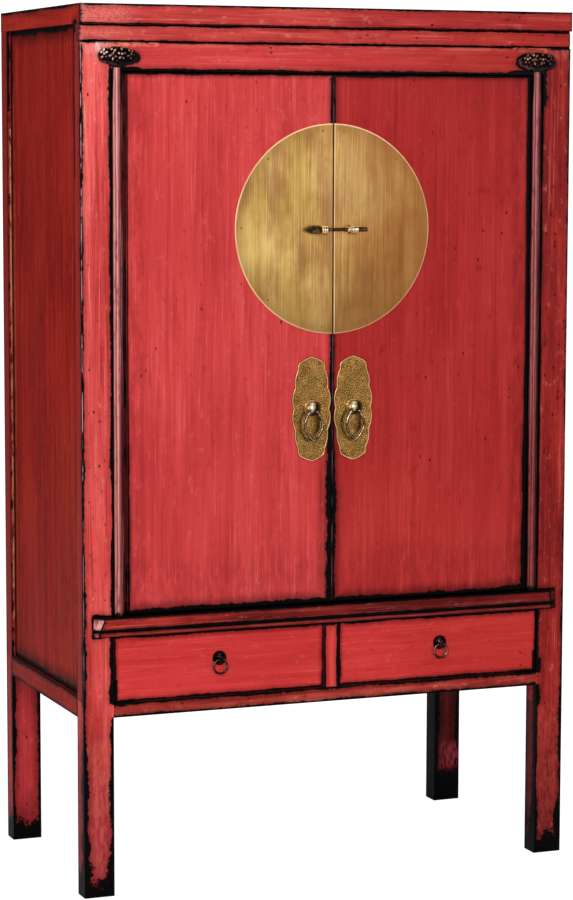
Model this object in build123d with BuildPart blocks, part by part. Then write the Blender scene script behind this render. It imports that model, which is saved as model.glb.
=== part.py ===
from build123d import *
import math
import os

os.makedirs("parts", exist_ok=True)

# Two-door wedding cabinet on square legs, with two drawers below the doors.
# Millimetres. +Z up, the front faces -Y, +X to the right of someone facing it.
# The origin is on the floor, under the middle of the overall box.

# ---------------------------------------------------------------- driving sizes
WIDTH = 1140.0           # over the posts
DEPTH = 592.0            # over the posts
HEIGHT = 1900.0
PROUD = 22.0             # furthest that any ornament stands in front of the posts
YF = -(DEPTH + PROUD) / 2 + PROUD   # front plane of the posts
YB = YF + DEPTH                     # back plane
HX = WIDTH / 2

POST_W = 67.0            # post, side to side
POST_D = 48.0            # post, front to back
IX = HX - POST_W         # inner face of the posts

CAP_Z = 1858.0           # underside of the top frame
CAP_W = 70.0             # width of its members
CAP_PROUD = 5.0          # its front edge over the posts
FRIEZE_Z = 1821.0        # underside of the frieze strip, top of the front posts' face
FRIEZE_BACK = 4.0        # how far the frieze stands back
FRIEZE_D = 30.0
TOP_RAIL_Z = 1762.0      # underside of the rail over the doors
RAIL_D = 30.0            # front rails, front to back
SILL_Z0, SILL_Z1 = 567.0, 609.0     # moulded rail under the doors
SILL_D = 34.0
SILL_PROUD = 18.0        # its top edge over the posts
SILL_FOOT = 8.0          # its bottom bead over the posts
SILL_HX = 547.0          # half length over the mitred ends
BOT_Z0, BOT_Z1 = 390.0, 421.0       # front rail under the drawers
SIDE_Z0, SIDE_Z1 = 388.0, 433.0     # side and back bottom rails
SIDE_RAIL_W = 30.0
DIV_HX = 16.0            # half width of the upright between the drawers

TENON = 25.0             # length of the front rails' tenons
PANEL_T = 14.0           # side and back panels
PANEL_IN = 8.0           # how far they stand in from the outer faces
PANEL_TONGUE = 8.0       # how far their edges run in the posts' grooves
TOP_T = 14.0             # floating top panel

AXIS_X = 489.0           # door pivots, half distance
AXIS_Y = YF + 3.0
ROD_R = 10.5             # round bead along each door's hinge stile
PIN_R = 5.5              # turned pivot pins
PIN_HOLE = 5.56
LUG_Z0 = 1769.0          # underside of the carved pivot blocks
LUG_HALF_W = 45.5
LUG_HALF_H = 20.5
LEAF_Y0, LEAF_Y1 = YF + 2.0, YF + 24.0
LEAF_Z0, LEAF_Z1 = 612.5, 1758.0
LEAF_OUT = 478.5         # where leaf and hinge stile meet
LEAF_FACE = 468.0        # outer edge of the leaf's raised face
LEAF_IN = 1.0            # half the gap between the leaves
BATTEN_H, BATTEN_T, BATTEN_LET = 46.0, 21.0, 5.0
BATTEN_ZS = (770.0, 1185.0, 1600.0)

DISC_R, DISC_Z = 227.0, 1427.0
PLATE_T = 2.0
EYE_X = {-1: 26.0, 1: 45.0}         # distance of each lock eye from the gap
EYE_Y, EYE_Z = YF - 9.5, 1426.0
EYE_R, EYE_BORE, LOCK_R = 11.0, 4.1, 3.6
LOCK_HEAD_END, LOCK_TAIL_END = 68.0, 76.0

HANDLE_X, HANDLE_Z = 49.0, 1037.5
BOSS_Z = 1039.5
BOSS_R = 16.2
RING_AX_Y = YF - 13.5    # door ring's pivot
RING_AX_Z = BOSS_Z - 7.0
RING_WIRE, RING_BORE = 2.8, 3.15

DRAWER_GAP = 2.5
DR_X0, DR_X1 = DIV_HX + DRAWER_GAP, IX - DRAWER_GAP   # 18.5 to 500.5 from the middle
DR_Y0 = YF + 1.0
DR_T = 20.0              # drawer front
DR_Z0, DR_Z1 = BOT_Z1 + 2.5, SILL_Z0 - 2.5
DR_SIDE_T, DR_SIDE_TOP, DR_LEN = 12.0, 545.0, 470.0
DR_BACK_Y = YF + 450.0
DR_BASE_Z, DR_BASE_T = 430.0, 6.0
PULL_X, PULL_Z = 262.0, 504.0
PULL_R = 14.6
PULL_AX_Y = DR_Y0 - 7.5
PULL_AX_Z = PULL_Z - 3.0
PULL_RING_R = 15.6

RUNNER_Z0, RUNNER_Z1 = 401.0, 423.6
FLOOR_Z0, FLOOR_Z1 = 592.0, 606.0
SHELVES = {"lower_shelf": 985.0, "upper_shelf": 1365.0}   # undersides
SHELF_T = 16.0
SHELF_Y0 = YF + 54.0

SIDES = (("left", -1), ("right", 1))


# ---------------------------------------------------------------- small helpers
def slab(x0, x1, y0, y1, z0, z1, mode=Mode.ADD):
    """A board between two corners, in any order."""
    x0, x1, y0, y1, z0, z1 = (
        min(x0, x1), max(x0, x1), min(y0, y1), max(y0, y1), min(z0, z1), max(z0, z1),
    )
    with Locations(((x0 + x1) / 2, (y0 + y1) / 2, (z0 + z1) / 2)):
        Box(x1 - x0, y1 - y0, z1 - z0, mode=mode)


def rod_x(x0, x1, y, z, r, mode=Mode.ADD):
    """A round bar along X."""
    with Locations(Location(((x0 + x1) / 2, y, z), (0, 90, 0))):
        Cylinder(r, abs(x1 - x0), mode=mode)


def rod_y(x, y0, y1, z, r, mode=Mode.ADD):
    """A round bar along Y."""
    with Locations(Location((x, (y0 + y1) / 2, z), (90, 0, 0))):
        Cylinder(r, abs(y1 - y0), mode=mode)


def rod_z(x, y, z0, z1, r, mode=Mode.ADD):
    """A round bar along Z."""
    with Locations((x, y, (z0 + z1) / 2)):
        Cylinder(r, abs(z1 - z0), mode=mode)


def keep(piece, label):
    piece.part.label = label
    export_step(piece.part, f"parts/{label}.step")


# Tenons, each as (x0, x1, y0, y1, z0, z1) for the +X side, mirrored for the left.
T_TOP = (IX, IX + TENON, YF + 9, YF + 21, TOP_RAIL_Z + 10, FRIEZE_Z - 10)
T_SILL = (IX, IX + TENON, YF + 9, YF + 21, SILL_Z0 + 8, SILL_Z1 - 8)
T_BOT = (IX, IX + TENON, YF + 9, YF + 21, BOT_Z0 + 6, BOT_Z1 - 6)
T_SIDE_F = (HX - 19, HX - 7, YF + POST_D - 20, YF + POST_D, SIDE_Z0 + 6, SIDE_Z1 - 9)
T_SIDE_B = (HX - 19, HX - 7, YB - POST_D, YB - POST_D + 20, SIDE_Z0 + 6, SIDE_Z1 - 9)
T_BACK = (IX, IX + 20, YB - 20, YB - 8, SIDE_Z0 + 6, SIDE_Z1 - 9)
T_CAP_F = (HX - 44, HX - 24, YF + 33, YF + 45, CAP_Z, CAP_Z + 16)
T_CAP_B = (HX - 44, HX - 24, YB - 34, YB - 20, CAP_Z, CAP_Z + 16)
PX0, PX1 = HX - PANEL_IN - PANEL_T, HX - PANEL_IN      # side panel, inner and outer face
PY0, PY1 = YB - PANEL_IN - PANEL_T, YB - PANEL_IN      # back panel, inner and outer face


def tenon(t, s, mode=Mode.ADD):
    slab(s * t[0], s * t[1], t[2], t[3], t[4], t[5], mode=mode)


# ---------------------------------------------------------------- corner posts
for side, s in SIDES:
    with BuildPart() as front_post:
        slab(s * IX, s * HX, YF, YF + POST_D, 0, FRIEZE_Z)
        outer = front_post.edges().filter_by(Axis.Z).sort_by(Axis.X)
        fillet(outer[:2] if s < 0 else outer[-2:], 2.0)
        slab(s * IX, s * HX, YF + FRIEZE_D, YF + POST_D, FRIEZE_Z, CAP_Z)
        tenon(T_CAP_F, s)
        for t in (T_TOP, T_SILL, T_BOT, T_SIDE_F):
            tenon(t, s, Mode.SUBTRACT)
        # groove that holds the side panel's front edge
        slab(s * PX0, s * PX1, YF + POST_D - PANEL_TONGUE, YF + POST_D,
             SIDE_Z1, CAP_Z, Mode.SUBTRACT)
    keep(front_post, f"front_{side}_post")

    with BuildPart() as back_post:
        slab(s * IX, s * HX, YB - POST_D, YB, 0, CAP_Z)
        outer = back_post.edges().filter_by(Axis.Z).sort_by(Axis.X)
        fillet(outer[:2] if s < 0 else outer[-2:], 2.0)
        tenon(T_CAP_B, s)
        for t in (T_SIDE_B, T_BACK):
            tenon(t, s, Mode.SUBTRACT)
        slab(s * PX0, s * PX1, YB - POST_D, YB - POST_D + PANEL_TONGUE,
             SIDE_Z1, CAP_Z, Mode.SUBTRACT)
        slab(s * IX, s * (IX + PANEL_TONGUE), PY0, PY1, SIDE_Z1, CAP_Z, Mode.SUBTRACT)
    keep(back_post, f"back_{side}_post")

# ---------------------------------------------------------------- top frame
CY0, CY1 = YF - CAP_PROUD, YB
TONGUE_UP = 6.0          # side and back panels run this far up into the top frame


FRONT_PLAN = [(-HX, CY0), (HX, CY0), (HX - CAP_W, CY0 + CAP_W), (-HX + CAP_W, CY0 + CAP_W)]
BACK_PLAN = [(-HX, CY1), (HX, CY1), (HX - CAP_W, CY1 - CAP_W), (-HX + CAP_W, CY1 - CAP_W)]
SIDE_PLAN = [(HX, CY0), (HX, CY1), (HX - CAP_W, CY1 - CAP_W), (HX - CAP_W, CY0 + CAP_W)]
MEMBERS = (
    ("front", FRONT_PLAN, (-1, 1)),
    ("back", BACK_PLAN, (-1, 1)),
    ("left", [(-x, y) for x, y in SIDE_PLAN], (-1,)),
    ("right", SIDE_PLAN, (1,)),
)
for where, plan, ends in MEMBERS:
    with BuildPart() as top_member:
        with BuildSketch(Plane.XY.offset(CAP_Z)):
            with BuildLine():
                Polyline(*plan, close=True)
            make_face()
        extrude(amount=HEIGHT - CAP_Z)
        if where == "front":
            fillet(top_member.edges().filter_by(Axis.X).sort_by(Axis.Y)[:2], 2.0)
        # groove for the top panel
        slab(-HX + CAP_W - 8, HX - CAP_W + 8, CY0 + CAP_W - 8, CY1 - CAP_W + 8,
             HEIGHT - 6 - TOP_T, HEIGHT - 6, Mode.SUBTRACT)
        for e in ends:
            tenon(T_CAP_F, e, Mode.SUBTRACT)
            tenon(T_CAP_B, e, Mode.SUBTRACT)
            slab(e * PX0, e * PX1, YF + POST_D - PANEL_TONGUE, YB - POST_D + PANEL_TONGUE,
                 CAP_Z, CAP_Z + TONGUE_UP, Mode.SUBTRACT)
        if where != "front":
            slab(-IX - PANEL_TONGUE, IX + PANEL_TONGUE, PY0, PY1, CAP_Z, CAP_Z + TONGUE_UP, Mode.SUBTRACT)
    keep(top_member, f"top_frame_{where}")

with BuildPart() as top_panel:
    slab(-HX + CAP_W - 8, HX - CAP_W + 8, CY0 + CAP_W - 8, CY1 - CAP_W + 8,
         HEIGHT - 6 - TOP_T, HEIGHT - 6)
keep(top_panel, "top_panel")

with BuildPart() as frieze_strip:
    slab(-HX, HX, YF + FRIEZE_BACK, YF + FRIEZE_D, FRIEZE_Z, CAP_Z)
    # bevels that make a V groove above and below the strip
    chamfer(frieze_strip.edges().filter_by(Axis.X).sort_by(Axis.Y)[:2], 4.0)
keep(frieze_strip, "frieze_strip")

# ---------------------------------------------------------------- front rails
LUG_BLOCK = (AXIS_X - 16, AXIS_X + 12, YF, YF + 17, LUG_Z0, LUG_Z0 + 28)   # part let into the rail

with BuildPart() as front_top_rail:
    slab(-IX, IX, YF, YF + RAIL_D, TOP_RAIL_Z, FRIEZE_Z)
    for s in (-1, 1):
        tenon(T_TOP, s)
        slab(s * LUG_BLOCK[0], s * LUG_BLOCK[1], *LUG_BLOCK[2:], Mode.SUBTRACT)
        # relief round the top of the hinge stile
        rod_z(s * AXIS_X, AXIS_Y, TOP_RAIL_Z, LUG_Z0, ROD_R + 1.5, Mode.SUBTRACT)
keep(front_top_rail, "front_top_rail")

with BuildPart() as sill_rail:
    slab(-IX, IX, YF, YF + SILL_D, SILL_Z0, SILL_Z1)
    # moulded nosing: sloping fascia over a small bead
    with BuildSketch(Plane.YZ.offset(-SILL_HX)):
        with BuildLine():
            Polyline(
                (YF, SILL_Z1), (YF - SILL_PROUD + 1.5, SILL_Z1), (YF - SILL_PROUD, SILL_Z1 - 2),
                (YF - 10.5, SILL_Z0 + 14), (YF - 6.5, SILL_Z0 + 12.5), (YF - 6.5, SILL_Z0 + 9.5),
                (YF - SILL_FOOT, SILL_Z0 + 7.5), (YF - SILL_FOOT, SILL_Z0 + 2), (YF - 6, SILL_Z0),
                (YF, SILL_Z0), close=True,
            )
        make_face()
    extrude(amount=2 * SILL_HX)
    for s in (-1, 1):
        # ends of the nosing, cut back at 45 degrees to die against the posts
        with BuildSketch(Plane.XY.offset(SILL_Z0 - 1)):
            with BuildLine():
                Polyline((s * SILL_HX, YF), (s * (SILL_HX - 30), YF - 30), (s * (SILL_HX + 5), YF - 30),
                         (s * (SILL_HX + 5), YF), close=True)
            make_face()
        extrude(amount=SILL_Z1 - SILL_Z0 + 2, mode=Mode.SUBTRACT)
        tenon(T_SILL, s)
        rod_z(s * AXIS_X, AXIS_Y, SILL_Z1 - 24, SILL_Z1, PIN_HOLE, Mode.SUBTRACT)
    # mortise for the drawer divider
    slab(-10, 10, YF + 9, YF + 21, SILL_Z0, SILL_Z0 + 12, Mode.SUBTRACT)
keep(sill_rail, "sill_rail")

with BuildPart() as front_bottom_rail:
    slab(-IX, IX, YF, YF + RAIL_D, BOT_Z0, BOT_Z1)
    for s in (-1, 1):
        tenon(T_BOT, s)
        # housings for the outer drawer runners
        slab(s * 480, s * 502, YF + RAIL_D - 8, YF + RAIL_D, RUNNER_Z0, BOT_Z1, Mode.SUBTRACT)
    slab(-40, 40, YF + RAIL_D - 8, YF + RAIL_D, RUNNER_Z0, BOT_Z1, Mode.SUBTRACT)
    slab(-10, 10, YF + 9, YF + 21, BOT_Z1 - 12, BOT_Z1, Mode.SUBTRACT)
keep(front_bottom_rail, "front_bottom_rail")

with BuildPart() as drawer_divider:
    slab(-DIV_HX, DIV_HX, YF, YF + RAIL_D, BOT_Z1, SILL_Z0)
    slab(-10, 10, YF + 9, YF + 21, BOT_Z1 - 12, SILL_Z0 + 12)
keep(drawer_divider, "drawer_divider")

# ---------------------------------------------------------------- side and back rails, panels
for side, s in SIDES:
    with BuildPart() as bottom_rail:
        slab(s * (HX - SIDE_RAIL_W), s * HX, YF + POST_D, YB - POST_D, SIDE_Z0, SIDE_Z1)
        tenon(T_SIDE_F, s)
        tenon(T_SIDE_B, s)
        slab(s * PX0, s * PX1, YF + POST_D, YB - POST_D, SIDE_Z1 - 6, SIDE_Z1, Mode.SUBTRACT)
    keep(bottom_rail, f"{side}_bottom_rail")

    with BuildPart() as side_panel:
        slab(s * PX0, s * PX1, YF + POST_D - PANEL_TONGUE, YB - POST_D + PANEL_TONGUE, SIDE_Z1, CAP_Z)
        slab(s * PX0, s * PX1, YF + POST_D, YB - POST_D, SIDE_Z1 - 6, SIDE_Z1)
        slab(s * PX0, s * PX1, YF + POST_D - PANEL_TONGUE, YB - POST_D + PANEL_TONGUE, CAP_Z, CAP_Z + TONGUE_UP)
    keep(side_panel, f"{side}_side_panel")

with BuildPart() as back_bottom_rail:
    slab(-IX, IX, YB - RAIL_D, YB, SIDE_Z0, SIDE_Z1)
    for s in (-1, 1):
        tenon(T_BACK, s)
        slab(s * 480, s * 502, YB - RAIL_D, YB - RAIL_D + 8, RUNNER_Z0, RUNNER_Z1, Mode.SUBTRACT)
    slab(-40, 40, YB - RAIL_D, YB - RAIL_D + 8, RUNNER_Z0, RUNNER_Z1, Mode.SUBTRACT)
    slab(-IX, IX, PY0, PY1, SIDE_Z1 - 6, SIDE_Z1, Mode.SUBTRACT)
keep(back_bottom_rail, "back_bottom_rail")

with BuildPart() as back_panel:
    slab(-IX - PANEL_TONGUE, IX + PANEL_TONGUE, PY0, PY1, SIDE_Z1, CAP_Z + TONGUE_UP)
    slab(-IX, IX, PY0, PY1, SIDE_Z1 - 6, SIDE_Z1)
    # V grooves where the boards of the back are jointed
    for i in range(-2, 3):
        with BuildSketch(Plane.XY.offset(SIDE_Z1 - 6)):
            with BuildLine():
                Polyline((i * 170 - 2.5, PY1), (i * 170 + 2.5, PY1), (i * 170, PY1 - 3), close=True)
            make_face()
        extrude(amount=CAP_Z + TONGUE_UP - SIDE_Z1 + 6, mode=Mode.SUBTRACT)
keep(back_panel, "back_panel")

# ---------------------------------------------------------------- inside
with BuildPart() as cabinet_floor:
    slab(-PX0, PX0, YF + POST_D, YB - POST_D, FLOOR_Z0, FLOOR_Z1)
    slab(-IX, IX, YF + SILL_D, PY0, FLOOR_Z0, FLOOR_Z1)
keep(cabinet_floor, "cabinet_floor")

for name, z in SHELVES.items():
    with BuildPart() as shelf:
        slab(-PX0, PX0, SHELF_Y0, YB - POST_D, z, z + SHELF_T)
        slab(-IX, IX, SHELF_Y0, PY0, z, z + SHELF_T)
        fillet(shelf.edges().filter_by(Axis.X).sort_by(Axis.Y)[:2], 2.0)
    keep(shelf, name)

with BuildPart() as shelf_cleats:
    for s in (-1, 1):
        slab(s * (PX0 - 20), s * PX0, YF + POST_D, YB - POST_D, FLOOR_Z0 - 20, FLOOR_Z0)
        for z in SHELVES.values():
            slab(s * (PX0 - 20), s * PX0, SHELF_Y0, YB - POST_D, z - 22, z)
keep(shelf_cleats, "shelf_cleats")

with BuildPart() as drawer_runners:
    for s in (-1, 1):
        slab(s * 480, s * 502, YF + RAIL_D - 8, YB - RAIL_D + 8, RUNNER_Z0, BOT_Z1)
        slab(s * 480, s * 502, YF + RAIL_D, YB - RAIL_D, BOT_Z1, RUNNER_Z1)
        slab(s * 480, s * 502, YB - RAIL_D, YB - RAIL_D + 8, BOT_Z1, RUNNER_Z1)
        slab(s * 502, s * (HX - SIDE_RAIL_W), YF + POST_D, YB - POST_D, RUNNER_Z0, 448)
    slab(-40, 40, YF + RAIL_D - 8, YB - RAIL_D + 8, RUNNER_Z0, BOT_Z1)
    slab(-40, 40, YF + RAIL_D, YB - RAIL_D + 8, BOT_Z1, RUNNER_Z1)
    slab(-16.5, 16.5, YF + RAIL_D, YB - RAIL_D, RUNNER_Z1, 470)
keep(drawer_runners, "drawer_runners")

# ---------------------------------------------------------------- carved pivot blocks over the doors
LUG_CZ = LUG_Z0 + LUG_HALF_H
for side, s in SIDES:
    cx = s * 485.5
    with BuildPart() as lug:
        with BuildSketch(Plane.XZ.offset(-YF)):
            with Locations((cx, LUG_CZ)):
                Ellipse(24, LUG_HALF_H)
            with Locations((cx - 21, LUG_CZ), (cx + 21, LUG_CZ)):
                Circle(16)
            with Locations((cx - 34.5, LUG_CZ - 1), (cx + 34.5, LUG_CZ - 1)):
                Circle(11)
        extrude(amount=13)
        with Locations((cx, YF - 12, LUG_CZ + 3)):
            Sphere(10)
        with Locations((cx - 16, YF - 9.5, LUG_CZ + 4), (cx + 16, YF - 9.5, LUG_CZ + 4),
                       (cx - 11, YF - 9.5, LUG_CZ - 8), (cx + 11, YF - 9.5, LUG_CZ - 8)):
            Sphere(8.5)
        with Locations((cx - 31, YF - 9, LUG_CZ - 1), (cx + 31, YF - 9, LUG_CZ - 1)):
            Sphere(9)
        slab(cx - 60, cx + 60, YF, YF + 40, LUG_Z0 - 20, LUG_Z0 + 80, Mode.SUBTRACT)
        slab(s * LUG_BLOCK[0], s * LUG_BLOCK[1], YF - 6, YF + 17, LUG_BLOCK[4], LUG_BLOCK[5])
        slab(cx - 60, cx + 60, YF - 40, YF + 40, LUG_Z0 - 40, LUG_Z0, Mode.SUBTRACT)
        rod_z(s * AXIS_X, AXIS_Y, LUG_Z0, LUG_Z0 + 22, PIN_HOLE, Mode.SUBTRACT)
    keep(lug, f"{side}_pivot_block")

# ---------------------------------------------------------------- doors
NAILS_DISC = ((25.0, 211.0), (212.5, 4.0), (25.0, -211.0), (150.5, 150.5), (150.5, -150.5))
NAILS_PLATE = ((0.0, 104.0), (0.0, -104.0), (38.0, 18.0), (-38.0, 18.0))
NAIL_R, NAIL_HEAD, NAIL_LEN = 0.9, 2.6, 14.0


def nail_points(s):
    return [(s * x, DISC_Z + z) for x, z in NAILS_DISC] + [
        (s * HANDLE_X + x, HANDLE_Z + z) for x, z in NAILS_PLATE
    ]


def plate_outline(cx, cz):
    """Lobed outline of a handle plate: arcs from cusp to cusp, one quarter mirrored both ways."""
    right = [(0, 113.5), (28, 100.5), (31, 86), (37.6, 46), (40.8, 0)]
    bulge = [0.05, 0.09, 0.075, 0.105]
    quarter = list(zip(right[:-1], right[1:], bulge))
    loop = quarter + [((q[0], -q[1]), (p[0], -p[1]), b) for p, q, b in reversed(quarter)]
    loop += [((-q[0], q[1]), (-p[0], p[1]), b) for p, q, b in reversed(loop)]
    for p, q, b in loop:
        mx, mz = (p[0] + q[0]) / 2, (p[1] + q[1]) / 2
        dx, dz = q[0] - p[0], q[1] - p[1]
        # bulge stands to the left of the way round, which is the outside when going clockwise
        yield ((cx + p[0], cz + p[1]), (cx + mx - dz * b, cz + mz + dx * b), (cx + q[0], cz + q[1]))


for side, s in SIDES:
    ax = s * AXIS_X
    with BuildPart() as leaf:
        with BuildSketch(Plane.XY.offset(LEAF_Z0)):
            with BuildLine():
                Polyline(
                    (s * LEAF_OUT, LEAF_Y0 + 6), (s * LEAF_FACE, LEAF_Y0 + 6), (s * LEAF_FACE, LEAF_Y0),
                    (s * LEAF_IN, LEAF_Y0), (s * LEAF_IN, LEAF_Y1), (s * LEAF_OUT, LEAF_Y1),
                    (s * LEAF_OUT, LEAF_Y1 - 4), (s * (LEAF_OUT + 8), LEAF_Y1 - 4),
                    (s * (LEAF_OUT + 8), LEAF_Y1 - 12), (s * LEAF_OUT, LEAF_Y1 - 12), close=True,
                )
            make_face()
        extrude(amount=LEAF_Z1 - LEAF_Z0)
        for z in BATTEN_ZS:
            with BuildSketch(Plane.YZ.offset(s * 10.0)):
                with BuildLine():
                    Polyline((LEAF_Y1, z - BATTEN_H / 2 + 3), (LEAF_Y1 - BATTEN_LET, z - BATTEN_H / 2),
                             (LEAF_Y1 - BATTEN_LET, z + BATTEN_H / 2), (LEAF_Y1, z + BATTEN_H / 2 - 3), close=True)
                make_face()
            extrude(amount=s * 458.0, mode=Mode.SUBTRACT)
        for x, z in nail_points(s):
            rod_y(x, LEAF_Y0, LEAF_Y0 - PLATE_T + NAIL_LEN, z, NAIL_R, Mode.SUBTRACT)
        rod_y(s * HANDLE_X, LEAF_Y0, LEAF_Y1, BOSS_Z, 2.5, Mode.SUBTRACT)
        rod_y(s * EYE_X[s], LEAF_Y0, LEAF_Y1, EYE_Z, 2.5, Mode.SUBTRACT)
    keep(leaf, f"{side}_door_leaf")

    with BuildPart() as stile:
        # D section: round bead in front, block behind, with a groove for the leaf's tongue
        slab(ax - ROD_R, ax + ROD_R, AXIS_Y, LEAF_Y1, LEAF_Z0, LEAF_Z1)
        rod_z(ax, AXIS_Y, SILL_Z1 + 0.5, LUG_Z0 - 0.5, ROD_R)
        slab(s * LEAF_OUT, s * (LEAF_OUT + 8), LEAF_Y1 - 12, LEAF_Y1 - 4, LEAF_Z0, LEAF_Z1, Mode.SUBTRACT)
        rod_z(ax, AXIS_Y, SILL_Z1 - 20, SILL_Z1 + 1, PIN_R)
        rod_z(ax, AXIS_Y, LUG_Z0 - 1, LUG_Z0 + 18, PIN_R)
    keep(stile, f"{side}_door_hinge_stile")

    with BuildPart() as battens:
        for z in BATTEN_ZS:
            with BuildSketch(Plane.YZ.offset(s * 10.0)):
                with BuildLine():
                    Polyline(
                        (LEAF_Y1 - BATTEN_LET, z - BATTEN_H / 2), (LEAF_Y1 - BATTEN_LET, z + BATTEN_H / 2),
                        (LEAF_Y1, z + BATTEN_H / 2 - 3), (LEAF_Y1 + BATTEN_T - BATTEN_LET, z + BATTEN_H / 2 - 6),
                        (LEAF_Y1 + BATTEN_T - BATTEN_LET, z - BATTEN_H / 2 + 6), (LEAF_Y1, z - BATTEN_H / 2 + 3),
                        close=True,
                    )
                make_face()
            extrude(amount=s * 458.0)
    keep(battens, f"{side}_door_battens")

    with BuildPart() as disc:
        with BuildSketch(Plane.XZ.offset(-LEAF_Y0)):
            with Locations((0, DISC_Z)):
                Circle(DISC_R)
            with Locations((-s * (DISC_R + 5) / 2 + s * (LEAF_IN + 0.2) / 2, DISC_Z)):
                Rectangle(DISC_R + 5 + LEAF_IN + 0.2, 2 * DISC_R + 10, mode=Mode.SUBTRACT)
        extrude(amount=PLATE_T)
        rim = disc.edges().filter_by(GeomType.CIRCLE).sort_by(Axis.Y)[0]
        chamfer(rim, 0.8)
        for x, z in nail_points(s)[:5]:
            rod_y(x, LEAF_Y0 - PLATE_T, LEAF_Y0, z, NAIL_R, Mode.SUBTRACT)
        rod_y(s * EYE_X[s], LEAF_Y0 - PLATE_T, LEAF_Y0, EYE_Z, 2.5, Mode.SUBTRACT)
    keep(disc, f"{side}_door_disc_half")

    with BuildPart() as eye:
        # turned barrel with three beads, flat where it sits on the plate, and its clenched shank
        ex = s * EYE_X[s]
        with BuildSketch(Plane.XY.offset(EYE_Z)):
            with BuildLine():
                Polyline(
                    (ex - 7, EYE_Y - EYE_BORE), (ex - 7, EYE_Y - 8.6), (ex - 5.8, EYE_Y - 10.6), (ex - 3.8, EYE_Y - 10.6),
                    (ex - 2.4, EYE_Y - 8.4), (ex - 1.2, EYE_Y - EYE_R), (ex + 1.2, EYE_Y - EYE_R),
                    (ex + 2.4, EYE_Y - 8.4), (ex + 3.8, EYE_Y - 10.6), (ex + 5.8, EYE_Y - 10.6), (ex + 7, EYE_Y - 8.6),
                    (ex + 7, EYE_Y - EYE_BORE), close=True,
                )
            make_face()
            if s > 0:
                with BuildLine():
                    Polyline((ex - 7, EYE_Y - EYE_BORE), (ex - 7, EYE_Y - 5.4), (ex - 10, EYE_Y - 5.0),
                             (ex - 11.5, EYE_Y - 6.4), (ex - 14.5, EYE_Y - 6.4), (ex - 16, EYE_Y - 5.0),
                             (ex - 16, EYE_Y - EYE_BORE), close=True)
                make_face()
        revolve(axis=Axis((0, EYE_Y, EYE_Z), (1, 0, 0)))
        slab(ex - 20, ex + 20, LEAF_Y0 - PLATE_T, LEAF_Y0 + 30, EYE_Z - 20, EYE_Z + 20, Mode.SUBTRACT)
        rod_y(ex, EYE_Y + EYE_BORE + 2.0, LEAF_Y1, EYE_Z, 2.5)
    keep(eye, f"{side}_door_lock_eye")

    with BuildPart() as plate:
        with BuildSketch(Plane.XZ.offset(-LEAF_Y0)):
            with BuildLine():
                for p, m, q in plate_outline(s * HANDLE_X, HANDLE_Z):
                    ThreePointArc(p, m, q)
            make_face()
        extrude(amount=PLATE_T)
        for x, z in nail_points(s)[5:]:
            rod_y(x, LEAF_Y0 - PLATE_T, LEAF_Y0, z, NAIL_R, Mode.SUBTRACT)
        rod_y(s * HANDLE_X, LEAF_Y0 - PLATE_T, LEAF_Y0, BOSS_Z, 2.5, Mode.SUBTRACT)
    keep(plate, f"{side}_door_handle_plate")

    hx = s * HANDLE_X
    with BuildPart() as boss:
        with Locations((hx, YF - 3, BOSS_Z)):
            Sphere(BOSS_R)
        rod_y(hx, YF - 1.8, YF, BOSS_Z, BOSS_R + 0.9)
        slab(hx - 30, hx + 30, YF, YF + 30, BOSS_Z - 30, BOSS_Z + 30, Mode.SUBTRACT)
        slab(hx - 30, hx + 30, YF - 30, YF - 18.6, BOSS_Z - 30, BOSS_Z + 30, Mode.SUBTRACT)
        for k in (-1, 1):
            # cheeks cut back so the ring's arms swing free
            rod_x(hx + k * 6.5, hx + k * 20, RING_AX_Y, RING_AX_Z, 5.8, Mode.SUBTRACT)
        rod_x(hx - 10, hx + 10, RING_AX_Y, RING_AX_Z, RING_BORE, Mode.SUBTRACT)
        rod_y(hx, YF - 3, LEAF_Y1, BOSS_Z, 2.5)
    keep(boss, f"{side}_door_boss")

    with BuildPart() as ring:
        with BuildLine(Plane.XZ.offset(-RING_AX_Y)):
            FilletPolyline(
                (hx + 2, RING_AX_Z), (hx + 9, RING_AX_Z), (hx + 14.3, RING_AX_Z - 9), (hx + 19.2, RING_AX_Z - 19.5),
                (hx + 20.8, RING_AX_Z - 30.5), (hx + 18.4, RING_AX_Z - 42), (hx + 11.5, RING_AX_Z - 53),
                (hx, RING_AX_Z - 65), (hx - 11.5, RING_AX_Z - 53), (hx - 18.4, RING_AX_Z - 42),
                (hx - 20.8, RING_AX_Z - 30.5), (hx - 19.2, RING_AX_Z - 19.5), (hx - 14.3, RING_AX_Z - 9),
                (hx - 9, RING_AX_Z), (hx - 2, RING_AX_Z),
                radius=[3.0, 90.0, 33.0, 27.0, 28.0, 55.0, 3.5, 55.0, 28.0, 27.0, 33.0, 90.0, 3.0],
            )
            Line((hx - 2, RING_AX_Z), (hx + 2, RING_AX_Z))
        with BuildSketch(Plane.YZ.offset(hx + 2)):
            with Locations((RING_AX_Y, RING_AX_Z)):
                Circle(RING_WIRE)
        sweep()
    keep(ring, f"{side}_door_ring")

    with BuildPart() as nails:
        for x, z in nail_points(s):
            y = LEAF_Y0 - PLATE_T
            rod_y(x, y, y + NAIL_LEN, z, NAIL_R)
            with BuildSketch(Plane.XZ.offset(-y)):
                with Locations((x, z)):
                    Circle(NAIL_HEAD)
            extrude(amount=1.0, taper=28)
    keep(nails, f"{side}_door_nails")

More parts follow.
